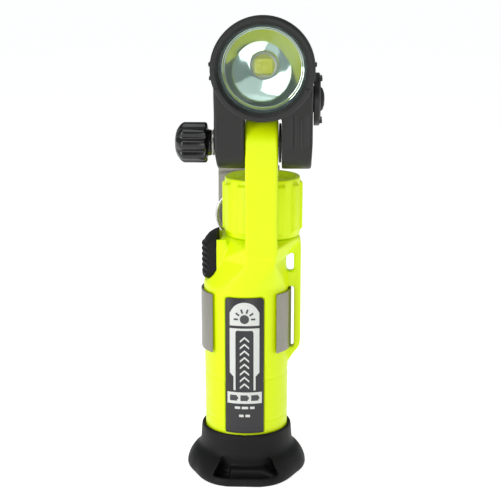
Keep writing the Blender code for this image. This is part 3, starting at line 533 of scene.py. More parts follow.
def button_outline(margin=0.0):
    """The button's rounded panel seen from the side, in y and z, made larger by a margin."""
    half_y, half_z, corner = 9.5 * MM + margin, 10.75 * MM + margin, 6.5 * MM + margin
    corners = [(half_y, BUTTON_Z + half_z), (-half_y, BUTTON_Z + half_z), (-half_y, BUTTON_Z - half_z),
               (half_y, BUTTON_Z - half_z)]
    return soften(corners, corner, closed=True, steps=10)


def mast_outline():
    """The mast seen from the side: a flat blade whose top is round about the pivot."""
    foot = CAP_SEAT - 6 * MM
    outline = [(MAST_BACK, foot), (MAST_BACK, 130.5 * MM)]
    outline += arc(pivot.y, pivot.z, BOSS_R, -75, 180, 40)
    return outline + [(MAST_FRONT, foot)]


def bar_outline():
    """The gear bar on the right side seen from the front: it swells out below and stands straight."""
    outer, swell = 24.0 * MM, 7.2 * MM
    outline = [(12 * MM, 48.4 * MM), (18.4 * MM, 48.4 * MM)]
    outline += arc(outer - swell, 58.6 * MM, swell, -50, 0, 10)
    return outline + scaled([(24.0, 101), (23.7, 104.6), (22.8, 105.5), (12, 105.5)])


waist = ring_points(WAIST_X, WAIST_Y, WAIST_R, WAIST_Z)
waist += [(MAST_X - 6 * MM, -20.2 * MM, WAIST_Z), (MAST_X + 5.8 * MM, -20.2 * MM, WAIST_Z)]
seat = ring_points(cap_axis.x, cap_axis.y, CAP_R, CAP_SEAT - 2.2 * MM)
seat += ring_points(cap_axis.x, cap_axis.y, CAP_R, CAP_SEAT)
seat += [(MAST_X + side * MAST_HALF, MAST_FRONT, CAP_SEAT - 2 * MM) for side in (-1, 1)]
print("waist and seat:", len(waist), len(seat), "points")

# %% [markdown]
# The shoulder is the skin stretched from the tube's top to a waist, and from the waist to the cap's
# seat. The pad behind the button stands a little proud, so that its rim frames the rubber.

# %% Join the body
button_pad = cut_shape(pulled(button_outline(1.1 * MM), "X", BUTTON_SEAT - 0.2 * MM, -8 * MM),
                       [block((-30 * MM, -20 * MM, CAP_SEAT - GAP), (0, 20 * MM, 120 * MM))], "DIFFERENCE")
body = as_object("body_shell_skin",
                 drum(TUBE_LOW_R, TUBE_LOW, TUBE_TOP + 0.2 * MM, top_radius=TUBE_TOP_R))
mast_left, mast_right = MAST_X - MAST_HALF, MAST_X + MAST_HALF
combine(body, [
    stretched(ring_points(0, 0, TUBE_TOP_R, TUBE_TOP) + waist),
    stretched(waist + seat),
    pulled(bar_outline(), "Y", -2.2 * MM, 2.2 * MM, 0.7 * MM),
    pulled(mast_outline(), "X", mast_left, mast_right, 1.1 * MM, 4),
    drum(NECK_R, CAP_SEAT - 3 * MM, NECK_TOP, cap_axis[:2]),
    button_pad,
], "UNION")
print("joined body:", len(body.data.polygons), "faces")

# %% [markdown]
# The tube has three fine grooves and a small round mould mark near its foot. The front is hollowed
# for the label, the left shoulder for the button, and the bar for the clip's band and a cord eye.

# %% Cut the body
label_cutter = cut_shape(block((-LABEL_HALF - GAP, -30 * MM, LABEL_LOW - GAP),
                               (LABEL_HALF + GAP, -10 * MM, LABEL_HIGH + GAP)),
                         [drum(17.2 * MM, 15 * MM, 90 * MM, top_radius=17.7 * MM)], "DIFFERENCE")
slot_outline = soften([(18.35 * MM, 55.6 * MM), (21.05 * MM, 55.6 * MM), (21.05 * MM, 83.2 * MM),
                       (18.35 * MM, 83.2 * MM)], 0.6 * MM, closed=True)
eye_outline = soften(scaled([(17.6, 91), (18.2, 90.1), (20.9, 90.1), (20.9, 98.9), (17.6, 96.8)]), 0.8 * MM,
                     closed=True)
grooves = []
for z in (25.8, 34.2, 45.0):
    wall = TUBE_LOW_R / MM + 0.5 * (z - 10.1) / 75
    profile = [(wall - 0.6, z - 0.05), (wall - 0.15, z - 0.8), (wall + 1.0, z - 0.9),
               (wall + 1.0, z + 0.25), (wall - 0.1, z + 0.15)]
    grooves.append(turned(scaled(profile), (0, 0, 0), closed=True))
mould_mark = turned(scaled([(1.35, -3), (1.85, -3), (1.85, 3), (1.35, 3)]),
                    (12.1 * MM, -13.9 * MM, 24.3 * MM), "front", 48, closed=True)
mark_core = cut_shape(mould_mark, [drum(TUBE_LOW_R - 0.15 * MM, TUBE_LOW, 40 * MM)], "DIFFERENCE")
combine(body, grooves + [mark_core], "DIFFERENCE")
combine(body, [
    label_cutter,
    pulled(button_outline(GAP), "X", -30 * MM, BUTTON_FLOOR),
    pulled(slot_outline, "Y", -10 * MM, 10 * MM),
    pulled(eye_outline, "Y", -6 * MM, 6 * MM),
    block((MAST_X - CABLE_HALF, -18.4 * MM, 101 * MM), (MAST_X + CABLE_HALF, -16 * MM, 141 * MM)),
], "DIFFERENCE")
print("cut body:", len(body.data.polygons), "faces")

# %% [markdown]
# Now the whole solid becomes one soft skin. The bores are cut after that, because a bore has to stay
# round and true: for the cells, the wires, the button's plunger and the pivot pin.

# %% Mould the body and cut its bores
moulded(body, 0.48 * MM, 7)
combine(body, [
    drum(BORE_R, TUBE_LOW - 5 * MM, BORE_TOP),
    drum(CHAMBER_R, BORE_TOP - 2 * MM, NECK_TOP + 5 * MM, (CHAMBER_X, CHAMBER_Y)),
    drum(PLUNGER_HOLE_R, -20 * MM, 0, (0, BUTTON_Z), "X", 48),
    drum(PIN_HOLE_R, -5 * MM, 20 * MM, (pivot.y, pivot.z), "X", 48),
    block((MAST_X - CABLE_HALF, -17 * MM, 101 * MM), (MAST_X + CABLE_HALF, -4 * MM, 104 * MM)),
    turned(scaled([(11.3, 113), (15, 113), (15, 111), (11.3, 111)]), (cap_axis.x, cap_axis.y, 0),
           closed=True),
], "DIFFERENCE")
piece(body, lime_pc, "handle", ["body_shell"])

# %% [markdown]
# ## The top cap
# The cap is ribbed for a gloved hand. A turned blank with twelve blocks joined on would leave hard
# corners, so each level is one ring of points that swells out twelve times, and the skin is bridged
# from ring to ring. The inside is bored for the neck.

# %% Top cap
def ribbed_ring(radius, height, rib, ribs=12, steps=288):
    """A circle with smooth-sided ribs; rib is how far they stand out."""
    ring = []
    for i in range(steps):
        angle = 2 * math.pi * (i + 0.5) / steps + math.radians(6)
        wave = math.cos(ribs * angle)
        share = min(max((wave + 0.25) / 0.5, 0), 1)
        here = radius + rib * share * share * (3 - 2 * share)
        ring.append((cap_axis.x + here * math.cos(angle), cap_axis.y + here * math.sin(angle), height))
    return ring


# Each level is (height, radius, rib), in millimetres.
levels = [(106.3, 16.0, 0), (106.6, 16.3, 0), (107.0, 16.4, 0), (108.2, 16.4, 0), (108.5, 16.4, 0.3),
          (108.8, 16.4, 0.8), (109.2, 16.4, 1.05), (109.8, 16.4, 1.1), (128.4, 16.4, 1.1), (129.0, 16.4, 1.0),
          (129.4, 16.4, 0.7), (129.8, 16.4, 0.3), (130.1, 16.4, 0), (131.2, 16.4, 0), (131.7, 16.25, 0),
          (131.95, 15.9, 0), (132.0, 15.6, 0), (131.95, 15.2, 0), (131.7, 14.8, 0), (131.2, 14.6, 0),
          (129.9, 14.4, 0), (129.5, 14.2, 0), (129.4, 13.8, 0)]
cap = as_object("top_cap_skin",
                lofted([ribbed_ring(r * MM, z * MM, rib * MM) for z, r, rib in levels]))
combine(cap, [drum(13.1 * MM, 100 * MM, 119 * MM, cap_axis[:2])], "DIFFERENCE")
piece(cap, lime_pc, "cap", ["top_cap"], sharp=50)

# %% [markdown]
# ## The label
# The label is a stiff curved film that fills its recess. A flat outline is pulled through the front
# of the tube, and only what lies between two thin drums is kept, which bends it for free.

# %% Label plate
FOOT_CORNER, HEAD_CORNER = 0.3 * MM, 1.6 * MM
outline = soften([(LABEL_HALF, LABEL_LOW, FOOT_CORNER), (LABEL_HALF, LABEL_HIGH, HEAD_CORNER),
                  (-LABEL_HALF, LABEL_HIGH, HEAD_CORNER), (-LABEL_HALF, LABEL_LOW, FOOT_CORNER)],
                 0, closed=True, steps=8)
plate = as_object("label_plate_skin", pulled(outline, "Y", -25 * MM, -10 * MM))
combine(plate, [drum(18.45 * MM, 10 * MM, 90 * MM, top_radius=18.95 * MM, steps=256)], "INTERSECT")
combine(plate, [drum(17.55 * MM, 10 * MM, 90 * MM, top_radius=18.05 * MM, steps=256)], "DIFFERENCE")
bevel = plate.modifiers.new("edge", "BEVEL")
bevel.width, bevel.segments, bevel.limit_method = 0.12 * MM, 2, "ANGLE"
bevel.angle_limit = math.radians(50)
settle(plate)
piece(plate, label_film, "handle", ["label_plate"])

# %% [markdown]
# The print is laid on the label as thin ink. An image would need a drawing from outside the script,
# so each shape is drawn flat, sliced into narrow strips and bent round the tube.

# %% Print helper
def label_radius(z):
    """The label's outer radius, which grows a little with height as the tube does."""
    return (18.45 + 0.5 * (z / MM - 10) / 80) * MM


def printed(name, outlines, material, lift):
    """Flat outlines of (across, up) in millimetres, bent round the label as ink."""
    joined = bmesh.new()
    for outline in outlines:
        flat = pulled(scaled(outline), "Y", 0, 0.03 * MM)
        mesh = bpy.data.meshes.new("ink")
        flat.to_mesh(mesh)
        flat.free()
        joined.from_mesh(mesh)
        bpy.data.meshes.remove(mesh)
    for step in range(-16, 17):
        bmesh.ops.bisect_plane(joined, geom=joined.verts[:] + joined.edges[:] + joined.faces[:], dist=1e-7,
                               plane_co=(step * 0.5 * MM, 0, 0), plane_no=(1, 0, 0))
    for vert in joined.verts:
        radius = label_radius(vert.co.z) + lift + vert.co.y
        angle = vert.co.x / label_radius(vert.co.z)
        vert.co.x, vert.co.y = radius * math.sin(angle), -radius * math.cos(angle)
    bmesh.ops.recalc_face_normals(joined, faces=joined.faces)
    return piece((name, joined), material, "handle", sharp=60)


def rectangle(left, right, low, high, corner=0.0):
    """A rectangle with rounded corners, in millimetres on the flat label."""
    return soften([(right, high), (left, high), (left, low), (right, low)], corner, closed=True, steps=6)


print("label radius at mid height:", round(label_radius((LABEL_LOW + LABEL_HIGH) / 2) / MM, 2), "mm")

# %% [markdown]
# The pale ink makes an arched panel, a bordered window and a band. Neutral signs stand in place of
# any mark: a lamp with rays, three cells, a column of chevrons and a few short bars.

# %% Print on the label
SIGN_Z = 72.6
panel_top = arc(0, 73.6, 6.5, 26, 154, 24)
panel = [(6.5, 69.7), (6.5, 75.4), *panel_top[1:-1], (-6.5, 75.4), (-6.5, 69.7)]
half_border = [(6.55, 68.5), (6.55, 48.4), (4.85, 46.6), (4.85, 40.4), (3.95, 40.4), (3.95, 66.6),
               (3.4, 67.5)]
border = half_border + [(-x, z) for x, z in reversed(half_border)]
band = rectangle(-7.7, 7.7, 34.3, 39.5)
printed("label_print_pale", [panel, border, band], pale_print, 0.01 * MM)

lamp_sign = [arc(0, SIGN_Z, 2.0, 0, 350, 35)]
for angle in range(0, 181, 36):
    a = math.radians(angle)
    along, across = Vector((math.cos(a), math.sin(a))), Vector((-math.sin(a), math.cos(a)))
    near, far = Vector((0, SIGN_Z)) + along * 2.8, Vector((0, SIGN_Z)) + along * 4.7
    lamp_sign.append([tuple(near - across * 0.4), tuple(far - across * 0.4), tuple(far + across * 0.4),
                      tuple(near + across * 0.4)])
cells = []
for x in (-4.7, 0.0, 4.7):
    cells += [rectangle(x - 1.8, x + 1.4, 35.6, 38.2, 0.3), rectangle(x + 1.4, x + 1.9, 36.3, 37.5)]
printed("label_print_dark", lamp_sign + cells, dark_print, 0.045 * MM)

chevrons = []
for step in range(8):
    z = 42.0 + step * 3.0
    chevrons.append([(0, z + 1.8), (-2.0, z), (-2.0, z - 0.9), (0, z + 0.9), (2.0, z - 0.9), (2.0, z)])
bars = [rectangle(x - half, x + half, z - 0.55, z + 0.55, 0.2)
        for x, half, z in ((-3.1, 1.2, 32.4), (0.2, 1.4, 32.4), (3.4, 1.0, 32.4), (-1.4, 1.0, 28.7),
                           (1.4, 1.0, 28.7))]
printed("label_print_signs", chevrons + bars, pale_print, 0.01 * MM)

# %% [markdown]
# ## The boot
# The rubber boot is a skirt: round at its rim, flaring to a foot with a flat toe. A turned shape
# could not have the toe, so rings of points are bridged, and each ring blends from a round sleeve to
# the foot's outline. A scallop is cut in the toe, and a tab stands in it. At the end the skin is
# relaxed, because rubber has only soft corners.

# %% Boot
def boot_radius(angle):
    """The foot's outline: a circle that swells towards the front and is cut off flat at the toe."""
    off_front = abs(math.degrees(math.remainder(angle + math.pi / 2, 2 * math.pi)))
    t = min(max((62 - off_front) / 42, 0), 1)
    radius = (26.7 + 4.4 * t * t * (3 - 2 * t)) * MM
    if off_front < 40:
        radius = min(radius, 30.3 * MM / math.cos(math.radians(off_front)))
    return radius


def boot_ring(height, sleeve, share, inset, steps=144):
    """A level of the boot; share runs from the round sleeve (0) to the foot's outline (1)."""
    ring = []
    for i in range(steps):
        angle = 2 * math.pi * i / steps
        radius = sleeve + (boot_radius(angle) - sleeve) * share - inset
        ring.append((radius * math.cos(angle), radius * math.sin(angle), height))
    return ring


# Each level is (height, sleeve, share, inset), with lengths in millimetres.
levels = [(0.0, 22.0, 1.0, 1.0), (0.4, 22.0, 1.0, 0.3), (1.0, 22.0, 1.0, 0.0), (2.6, 22.0, 0.96, 0.0),
          (4.0, 22.0, 0.87, 0.0), (5.4, 22.0, 0.74, 0.0), (6.8, 22.0, 0.56, 0.0), (7.4, 22.0, 0.46, 0.0),
          (8.0, 22.0, 0.36, 0.0), (8.6, 21.8, 0.24, 0.0), (9.1, 21.6, 0.14, 0.0), (9.6, 21.35, 0.06, 0.0),
          (10.1, 21.1, 0.02, 0.0), (11.2, 20.7, 0.0, 0.0), (13.0, 20.4, 0.0, 0.0), (18.6, 20.05, 0.0, 0.0),
          (19.6, 19.85, 0.0, 0.0), (20.0, 19.5, 0.0, 0.0)]
boot = as_object("rubber_boot_skin",
                 lofted([boot_ring(z * MM, s * MM, k, i * MM) for z, s, k, i in levels]))
scallop = cut_shape(pulled(scaled([(-13.9, 3.6), (15.4, 3.6), (8.6, 13.8), (-7.2, 13.8)]),
                           "Y", -45 * MM, -12 * MM),
                    [drum(20.9 * MM, -5 * MM, 20 * MM)], "DIFFERENCE")
pocket = cut_shape(lofted([boot_ring(z * MM, 22 * MM, 1.0, 2.2 * MM) for z in (1.6, 3.9)]),
                   [block((-13 * MM, -40 * MM, 0), (14.4 * MM, -12 * MM, 20 * MM))], "INTERSECT")
pocket = cut_shape(pocket, [drum(21.6 * MM, -5 * MM, 20 * MM)], "DIFFERENCE")
combine(boot, [scallop, pocket], "DIFFERENCE")
combine(boot, [pulled(scaled([(-6.5, 1), (14.2, 1), (14.2, 3.3), (8.0, 6.2), (-5.7, 6.2)]),
                      "Y", -25.4 * MM, -19 * MM, 0.6 * MM)], "UNION")
combine(boot, [drum(TUBE_LOW_R + GAP, 2.6 * MM, 25 * MM)], "DIFFERENCE")
moulded(boot, 0.42 * MM, 6)
piece(boot, black_rubber, "battery_door", ["rubber_boot"])

# %% [markdown]
# ## The power button
# A rubber cap over the switch, ribbed so that a thumb finds it. Its face follows the round shoulder,
# so it is part of a turned shape about the tube's axis, trimmed to a rounded panel. A short plunger
# reaches the switch behind it.

# %% Power button
profile = [(0, 107.9), (13.4, 107.9, 1.0), (14.9, 107.5, 1.0), (16.6, 106.4, 1.5), (17.9, 104.8, 1.5),
           (18.8, 103.2, 1.2)]
for rib in range(5):
    z = 102.6 - rib * 2.45
    profile += [(19.6, z + 0.1, 0.4), (19.6, z - 0.5, 0.4), (18.75, z - 0.9, 0.3), (18.75, z - 1.35, 0.3)]
profile += [(19.5, 90.5, 0.5), (19.4, 88.5, 1.0), (18.5, 87.4, 0.6), (0, 87.4)]
button = as_object("side_button_skin",
                   turned(soften(scaled(profile), 0.2 * MM), (0, 0, 0), steps=256))
combine(button, [pulled(button_outline(), "X", -30 * MM, BUTTON_SEAT)], "INTERSECT")
combine(button, [drum(2.2 * MM, -13.5 * MM, -5 * MM, (0, BUTTON_Z), "X", 48)], "UNION")
moulded(button, 0.2 * MM, 5)
piece(button, black_rubber, "power_button", ["side_button"])

# %% [markdown]
# ## The steel clip and its ring
# The clip is bent from strip: a band that snaps round the tube, a leg that rises behind it, and a
# tongue that comes back down outside. A path in side view, thickened and pulled across, gives the
# same bends as a press tool. The tongue is a separate piece because it springs on its own joint.

# %% Clip
def strip_outline(path, thickness):
    """Thickens an open path in side view into the outline of a bent strip."""
    left, right = [], []
    for i, (a, b) in enumerate(path):
        before, after = path[max(i - 1, 0)], path[min(i + 1, len(path) - 1)]
        along = Vector((after[0] - before[0], after[1] - before[1])).normalized()
        left.append((a - along.y * thickness / 2, b + along.x * thickness / 2))
        right.append((a + along.y * thickness / 2, b - along.x * thickness / 2))
    return left + right[::-1]


leg_y = 25.0 * MM
bend_r = (clip_hinge.y - leg_y) / 2
profile = soften(scaled([(19.0, 82.5), (19.9, 82.5), (19.9, 56.0), (19.0, 56.0)]), 0.25 * MM, closed=True)
clip = as_object("clip_band_skin", turned(profile, (0, 0, 0), steps=192, closed=True))
combine(clip, [block((-14.05 * MM, -30 * MM, 40 * MM), (13.75 * MM, -8 * MM, 100 * MM))], "DIFFERENCE")
path = soften([(19.5 * MM, 58 * MM), (19.5 * MM, 83 * MM), (leg_y, 97 * MM), (leg_y, 110 * MM)],
              6 * MM, steps=10)
path += arc(leg_y + bend_r, clip_hinge.z, bend_r, 180, 0, 24)
lug_z = ring_hang.z + 0.3 * MM
combine(clip, [
    pulled(strip_outline(path, STRIP), "X", -CLIP_HALF, CLIP_HALF, 0.2 * MM, 2),
    pulled(arc(ring_hang.y, lug_z, 2.6 * MM, 90, 270, 24)
           + [(leg_y, ring_hang.z - 2.3 * MM), (leg_y, ring_hang.z + 2.9 * MM)],
           "X", ring_hang.x - 0.8 * MM, ring_hang.x + 0.8 * MM, 0.2 * MM, 2),
], "UNION")
combine(clip, [drum(1.5 * MM, ring_hang.x - 3 * MM, ring_hang.x + 3 * MM, (ring_hang.y, lug_z),
                    "X", 48)], "DIFFERENCE")
piece(clip, clip_steel, "handle", ["clip_band"], sharp=30)

back = clip_hinge.y
path = soften([(back, clip_hinge.z - GAP), (back - 0.6 * MM, 90 * MM), (back - 1.2 * MM, 68 * MM),
               (back + 0.2 * MM, 63 * MM), (back + 2.2 * MM, 59 * MM)], 8 * MM, steps=8)
tongue = pulled(strip_outline(path, STRIP), "X", -CLIP_HALF, CLIP_HALF, 0.2 * MM, 2)
piece(("clip_tongue_skin", tongue), clip_steel, "clip_arm", ["clip_tongue"], sharp=30)

# %% [markdown]
# The ring on the clip is a split ring: nearly two turns of flattened wire that lie side by side. A
# torus would lose the step where the turns begin and end, so the wire is lofted along a short coil.

# %% Split ring
def coil(radius, wire, turns, spread, steps_per_turn=96, sides=16):
    """Turns of flattened wire side by side, lofted along their path, ends closed."""
    rings = []
    total = int(turns * steps_per_turn)
    for i in range(total + 1):
        angle = 2 * math.pi * i / steps_per_turn + math.radians(60)
        offset = (i / total - 0.5) * spread
        ring = []
        for k in range(sides):
            around = 2 * math.pi * k / sides
            reach = radius + wire * math.cos(around)
            depth = offset + 0.55 * wire * math.sin(around)
            ring.append((reach * math.cos(angle), depth, reach * math.sin(angle)))
        rings.append(ring)
    return lofted(rings)


ring_low, ring_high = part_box("split_ring")
ring_middle = (ring_low + ring_high) / 2
split = coil(10.8 * MM, 0.85 * MM, 1.9, 0.9 * MM)
bmesh.ops.translate(split, vec=ring_middle, verts=split.verts)
piece(("split_ring_skin", split), wire_steel, "ring", ["split_ring"])

# %% [markdown]
# ## The thumb knob and the pivot
# The knob has eight lobes, a domed end and a short neck. The hollows between the lobes are a cosine
# taken from the radius, and rings of points are bridged as for the cap. The washers, the nut and the
# screw sit where the frame has them.

# %% Knob and washers
def lobed_ring(x, radius, lobe, steps=192):
    """A ring about the pivot with eight hollows; lobe is how deep they are."""
    ring = []
    for i in range(steps):
        angle = 2 * math.pi * i / steps + math.pi / 8
        here = radius - lobe * (0.5 - 0.5 * math.cos(8 * angle)) ** 2
        ring.append((x, pivot.y + here * math.cos(angle), pivot.z + here * math.sin(angle)))
    return ring


# Each level is (place along X, radius, lobe), in millimetres.
levels = [(-29.5, 1.5, 0), (-29.45, 3.0, 0), (-29.2, 4.2, 0), (-28.7, 5.5, 0.15), (-28.0, 6.6, 0.5),
          (-27.4, 7.4, 0.8), (-26.8, 8.0, 1.1), (-26.2, 8.4, 1.25), (-25.6, 8.6, 1.35),
          (-17.0, 8.6, 1.35), (-16.5, 8.5, 1.3),
          (-16.1, 8.2, 1.1), (-15.85, 7.6, 0.7), (-15.8, 6.8, 0.3), (-15.7, 5.9, 0), (-15.4, 5.55, 0),
          (-14.4, 5.45, 0), (-14.1, 5.35, 0), (-14.0, 5.1, 0)]
knob = as_object("thumb_knob_skin",
                 lofted([lobed_ring(x * MM, r * MM, lobe * MM) for x, r, lobe in levels]))
combine(knob, [drum(PIN_HOLE_R, -22.3 * MM, -10 * MM, (pivot.y, pivot.z), "X", 48)], "DIFFERENCE")
piece(knob, gloss_black, "knob", ["thumb_knob"], sharp=50)


def washer(node, radius, material, body):
    """A washer on the pivot pin, as thick as the frame's own and with its edges broken."""
    low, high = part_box(node)
    profile = soften([(PIN_HOLE_R, high.x), (radius, high.x), (radius, low.x), (PIN_HOLE_R, low.x)],
                     0.12 * MM, closed=True, steps=2)
    bm = turned(profile, (0, pivot.y, pivot.z), "right", 96, closed=True)
    return piece((f"{node}_skin", bm), material, body, [node])


washer("knob_washer", 5.5 * MM, screw_steel, "knob")
washer("friction_washer", 8.3 * MM, black_nylon, "handle")

# %% [markdown]
# The nut is an ordinary hexagon pulled to its thickness, held in a pocket of the right fork leg.

# %% Pivot nut
NUT_R = 3.7 * MM
low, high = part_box("pivot_nut")
hexagon = [(pivot.y + NUT_R * math.cos(math.radians(a)), pivot.z + NUT_R * math.sin(math.radians(a)))
           for a in range(0, 360, 60)]
nut = as_object("pivot_nut_skin", pulled(hexagon, "X", low.x, high.x, 0.3 * MM))
combine(nut, [drum(PIN_HOLE_R, low.x - MM, high.x + MM, (pivot.y, pivot.z), "X", 48)], "DIFFERENCE")
piece(nut, screw_steel, "head", ["pivot_nut"], sharp=30)

# %% [markdown]
# ## The head housing
# A round barrel for the lamp sits on a block that forks round the mast. The barrel is bridged from
# circles, because it leans a little, and the block is a side view pulled across. Both are joined
# here, and the fork is opened.

# %% Join the head
head_front = Vector((head_axis.x, 0, head_axis.z))


def barrel_ring(y, radius, drop, steps=128):
    """A level of the head's barrel, which leans down a little towards its rear."""
    return [(head_axis.x + radius * math.cos(2 * math.pi * i / steps), y,
             head_axis.z - drop + radius * math.sin(2 * math.pi * i / steps)) for i in range(steps)]


drop = head_axis.z - REAR_Z
barrel = [(-26.2, 19.2, 0), (-24.2, 19.2, 0), (-24.2, 20.9, 0), (-20.0, 20.9, 0), (2.8, 19.5, drop),
          (4.0, 18.7, drop)]
housing = as_object("head_housing_skin", lofted([barrel_ring(y * MM, r * MM, d) for y, r, d in barrel]))
side = arc(pivot.y, pivot.z, LEG_R, 180, 360, 32)
side += soften(scaled([(-0.1, 150), (-0.1, 158), (3.6, 165), (3.6, 170)]), 6 * MM)
side += [(3.6 * MM, head_axis.z), (-24 * MM, head_axis.z)]
side += soften(scaled([(-24, 172), (-24, 168), (-21.9, 161), (-21.9, 150)]), 6 * MM)
combine(housing, [pulled(side, "X", FORK_OUT_LEFT, FORK_OUT_RIGHT, 1.5 * MM, 4)], "UNION")
combine(housing, [block((FORK_LEFT, -40 * MM, 120 * MM), (FORK_RIGHT, 20 * MM, FORK_TOP))], "DIFFERENCE")
print("head solid:", len(housing.data.polygons), "faces")

# %% [markdown]
# The fork's legs narrow a little towards their tips, and the right one has a shallow step in front.
# These are wedges cut away before the skin is moulded. The bores for the lamp, the cover, the pin,
# the nut and the switch are cut after it, so that they stay true.

# %% Mould the head and cut its bores
LEG_TIP_Z, LEG_FOOT_Z, TAPER_TOP_Z, RELIEF_X = 137 * MM, 134 * MM, 149 * MM, 20.4 * MM
wedges = []
for outer, tip in ((FORK_OUT_LEFT, -11.4 * MM), (FORK_OUT_RIGHT, 27.9 * MM)):
    away = outer + math.copysign(3 * MM, outer)
    wedges.append(pulled([(outer, TAPER_TOP_Z), (tip, LEG_TIP_Z), (tip, LEG_FOOT_Z), (away, LEG_FOOT_Z),
                          (away, TAPER_TOP_Z)], "Y", -40 * MM, 20 * MM))
wedges.append(pulled(scaled([(-30, 147.4), (-22.4, 147.4), (-21.35, 146.4), (-21.35, 134), (-30, 134)]),
                     "X", RELIEF_X, 40 * MM))
wedges.append(block((RELIEF_X, -30 * MM, 146.6 * MM), (24.0 * MM, -21.45 * MM, 161.5 * MM)))
combine(housing, wedges, "DIFFERENCE")
moulded(housing, 0.4 * MM, 5)
combine(housing, [
    drum(17.4 * MM, -30 * MM, -6.0 * MM, (head_axis.x, head_axis.z), "Y", 128),
    drum(12.9 * MM, -8 * MM, 6 * MM, (head_axis.x, head_axis.z), "Y", 128),
    drum(17.6 * MM, 1.8 * MM, 8 * MM, (head_axis.x, REAR_Z), "Y", 128),
    drum(PIN_HOLE_R, -20 * MM, 24 * MM, (pivot.y, pivot.z), "X", 48),
    drum(4.1 * MM, 21.7 * MM, 40 * MM, (pivot.y, pivot.z), "X", 64),
    drum(6.5 * MM, 24 * MM, 40 * MM, (switch_axis.y, switch_axis.z), "X", 96),
    drum(1.2 * MM, 14 * MM, 25 * MM, (switch_axis.y, switch_axis.z), "X", 24),
], "DIFFERENCE")
piece(housing, black_nylon, "head", ["head_housing"])

# %% [markdown]
# A turned disc closes the back of the head. Four screws hold it: each is turned too, and its cross
# slot is two thin blocks cut into the head of the screw.

# %% Rear cover and its screws
COVER_HOLE_R, SLOT_HALF, SLOT_REACH = 1.8 * MM, 0.2 * MM, 0.9 * MM
profile = soften(scaled([(0, -2.1), (17.3, -2.1), (17.3, -3.9, 0.4), (12.4, -3.9, 0.6), (11.6, -3.4, 0.6),
                         (0, -3.4)]), 0.2 * MM)
cover = as_object("rear_cover_skin", turned(profile, Vector((head_axis.x, 0, REAR_Z)), "front", 128))
for number in range(1, 5):
    low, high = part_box(f"cover_screw_{number}")
    x, z = (low.x + high.x) / 2, (low.z + high.z) / 2
    combine(cover, [drum(COVER_HOLE_R, 0, 10 * MM, (x, z), "Y", 48)], "DIFFERENCE")
    profile = soften(scaled([(0, 3.8), (0.8, 3.8), (0.8, -2.2), (1.6, -2.2), (1.6, -3.5, 0.5), (0, -3.5)]),
                     0.1 * MM)
    screw = as_object(f"cover_screw_{number}_skin", turned(profile, (x, 0, z), "front", 48))
    combine(screw, [block((x - across, 2.9 * MM, z - up), (x + across, 4.5 * MM, z + up))
                    for across, up in ((SLOT_REACH, SLOT_HALF), (SLOT_HALF, SLOT_REACH))], "DIFFERENCE")
    piece(screw, screw_steel, "head", [f"cover_screw_{number}"], sharp=30)
piece(cover, spark_nylon, "head", ["rear_cover"], sharp=35)

# %% [markdown]
# ## Bezel and lens
# The bezel is a turned ring with a bevelled lip, a fine groove behind it, small nubs at both sides
# and a notch on each side of the lip. All of it is one lathe profile, with the nubs joined on and the
# notches cut. The flat lens behind it is a lathe profile as well.

# %% Bezel and lens
NOTCH_R = 20.6 * MM
profile = soften(scaled([(17.8, 29.4, 0.1), (18.1, 29.75, 0.05), (19.05, 30.75, 0.1), (19.3, 31.0, 0.1),
                         (20.5, 31.0, 0.5), (21.35, 30.15, 0.3), (21.4, 29.7, 0.1), (21.15, 29.55, 0.05),
                         (21.15, 29.25, 0.05), (21.4, 29.1, 0.1), (21.4, 24.5, 0.3), (19.6, 24.5, 0.2),
                         (19.6, 29.1, 0.1), (17.8, 29.1, 0.15)]), 0.2 * MM, closed=True, steps=5)
bezel = as_object("bezel_ring_skin", turned(profile, head_front, "front", 192, closed=True))
nubs = []
for degrees in (-10, 5, 175, 190):
    x = head_axis.x + BEZEL_R * math.cos(math.radians(degrees))
    z = head_axis.z + BEZEL_R * math.sin(math.radians(degrees))
    nubs.append(block((x - 0.6 * MM, -29.5 * MM, z - 0.8 * MM), (x + 0.6 * MM, -25.5 * MM, z + 0.8 * MM),
                      0.2 * MM))
combine(bezel, nubs, "UNION")
notches = []
for degrees in (-22, 202):
    x = head_axis.x + NOTCH_R * math.cos(math.radians(degrees))
    z = head_axis.z + NOTCH_R * math.sin(math.radians(degrees))
    notches.append(block((x - 1.6 * MM, -32 * MM, z - 0.22 * MM),
                         (x + 1.6 * MM, -30.3 * MM, z + 0.22 * MM)))
combine(bezel, notches, "DIFFERENCE")
piece(bezel, spark_nylon, "bezel", ["bezel_ring"], sharp=35)

profile = soften(scaled([(0, 28.8), (19.2, 28.8, 0.3), (19.2, 27.3, 0.3), (0, 27.3)]), 0.2 * MM)
piece(("lens_skin", turned(profile, head_front, "front", 192)), lens_plastic, "head", ["lens"])

# %% [markdown]
# ## Reflector and light source
# The reflector is a parabola, which sends light from its focus straight out: the radius at a depth d
# is the root of 4 f d. Steps in depth grow towards the rim, where the curve is nearly straight. The
# light source is a board, a yellow chip and a clear dome that reaches down round the chip, as the
# moulded silicone does.

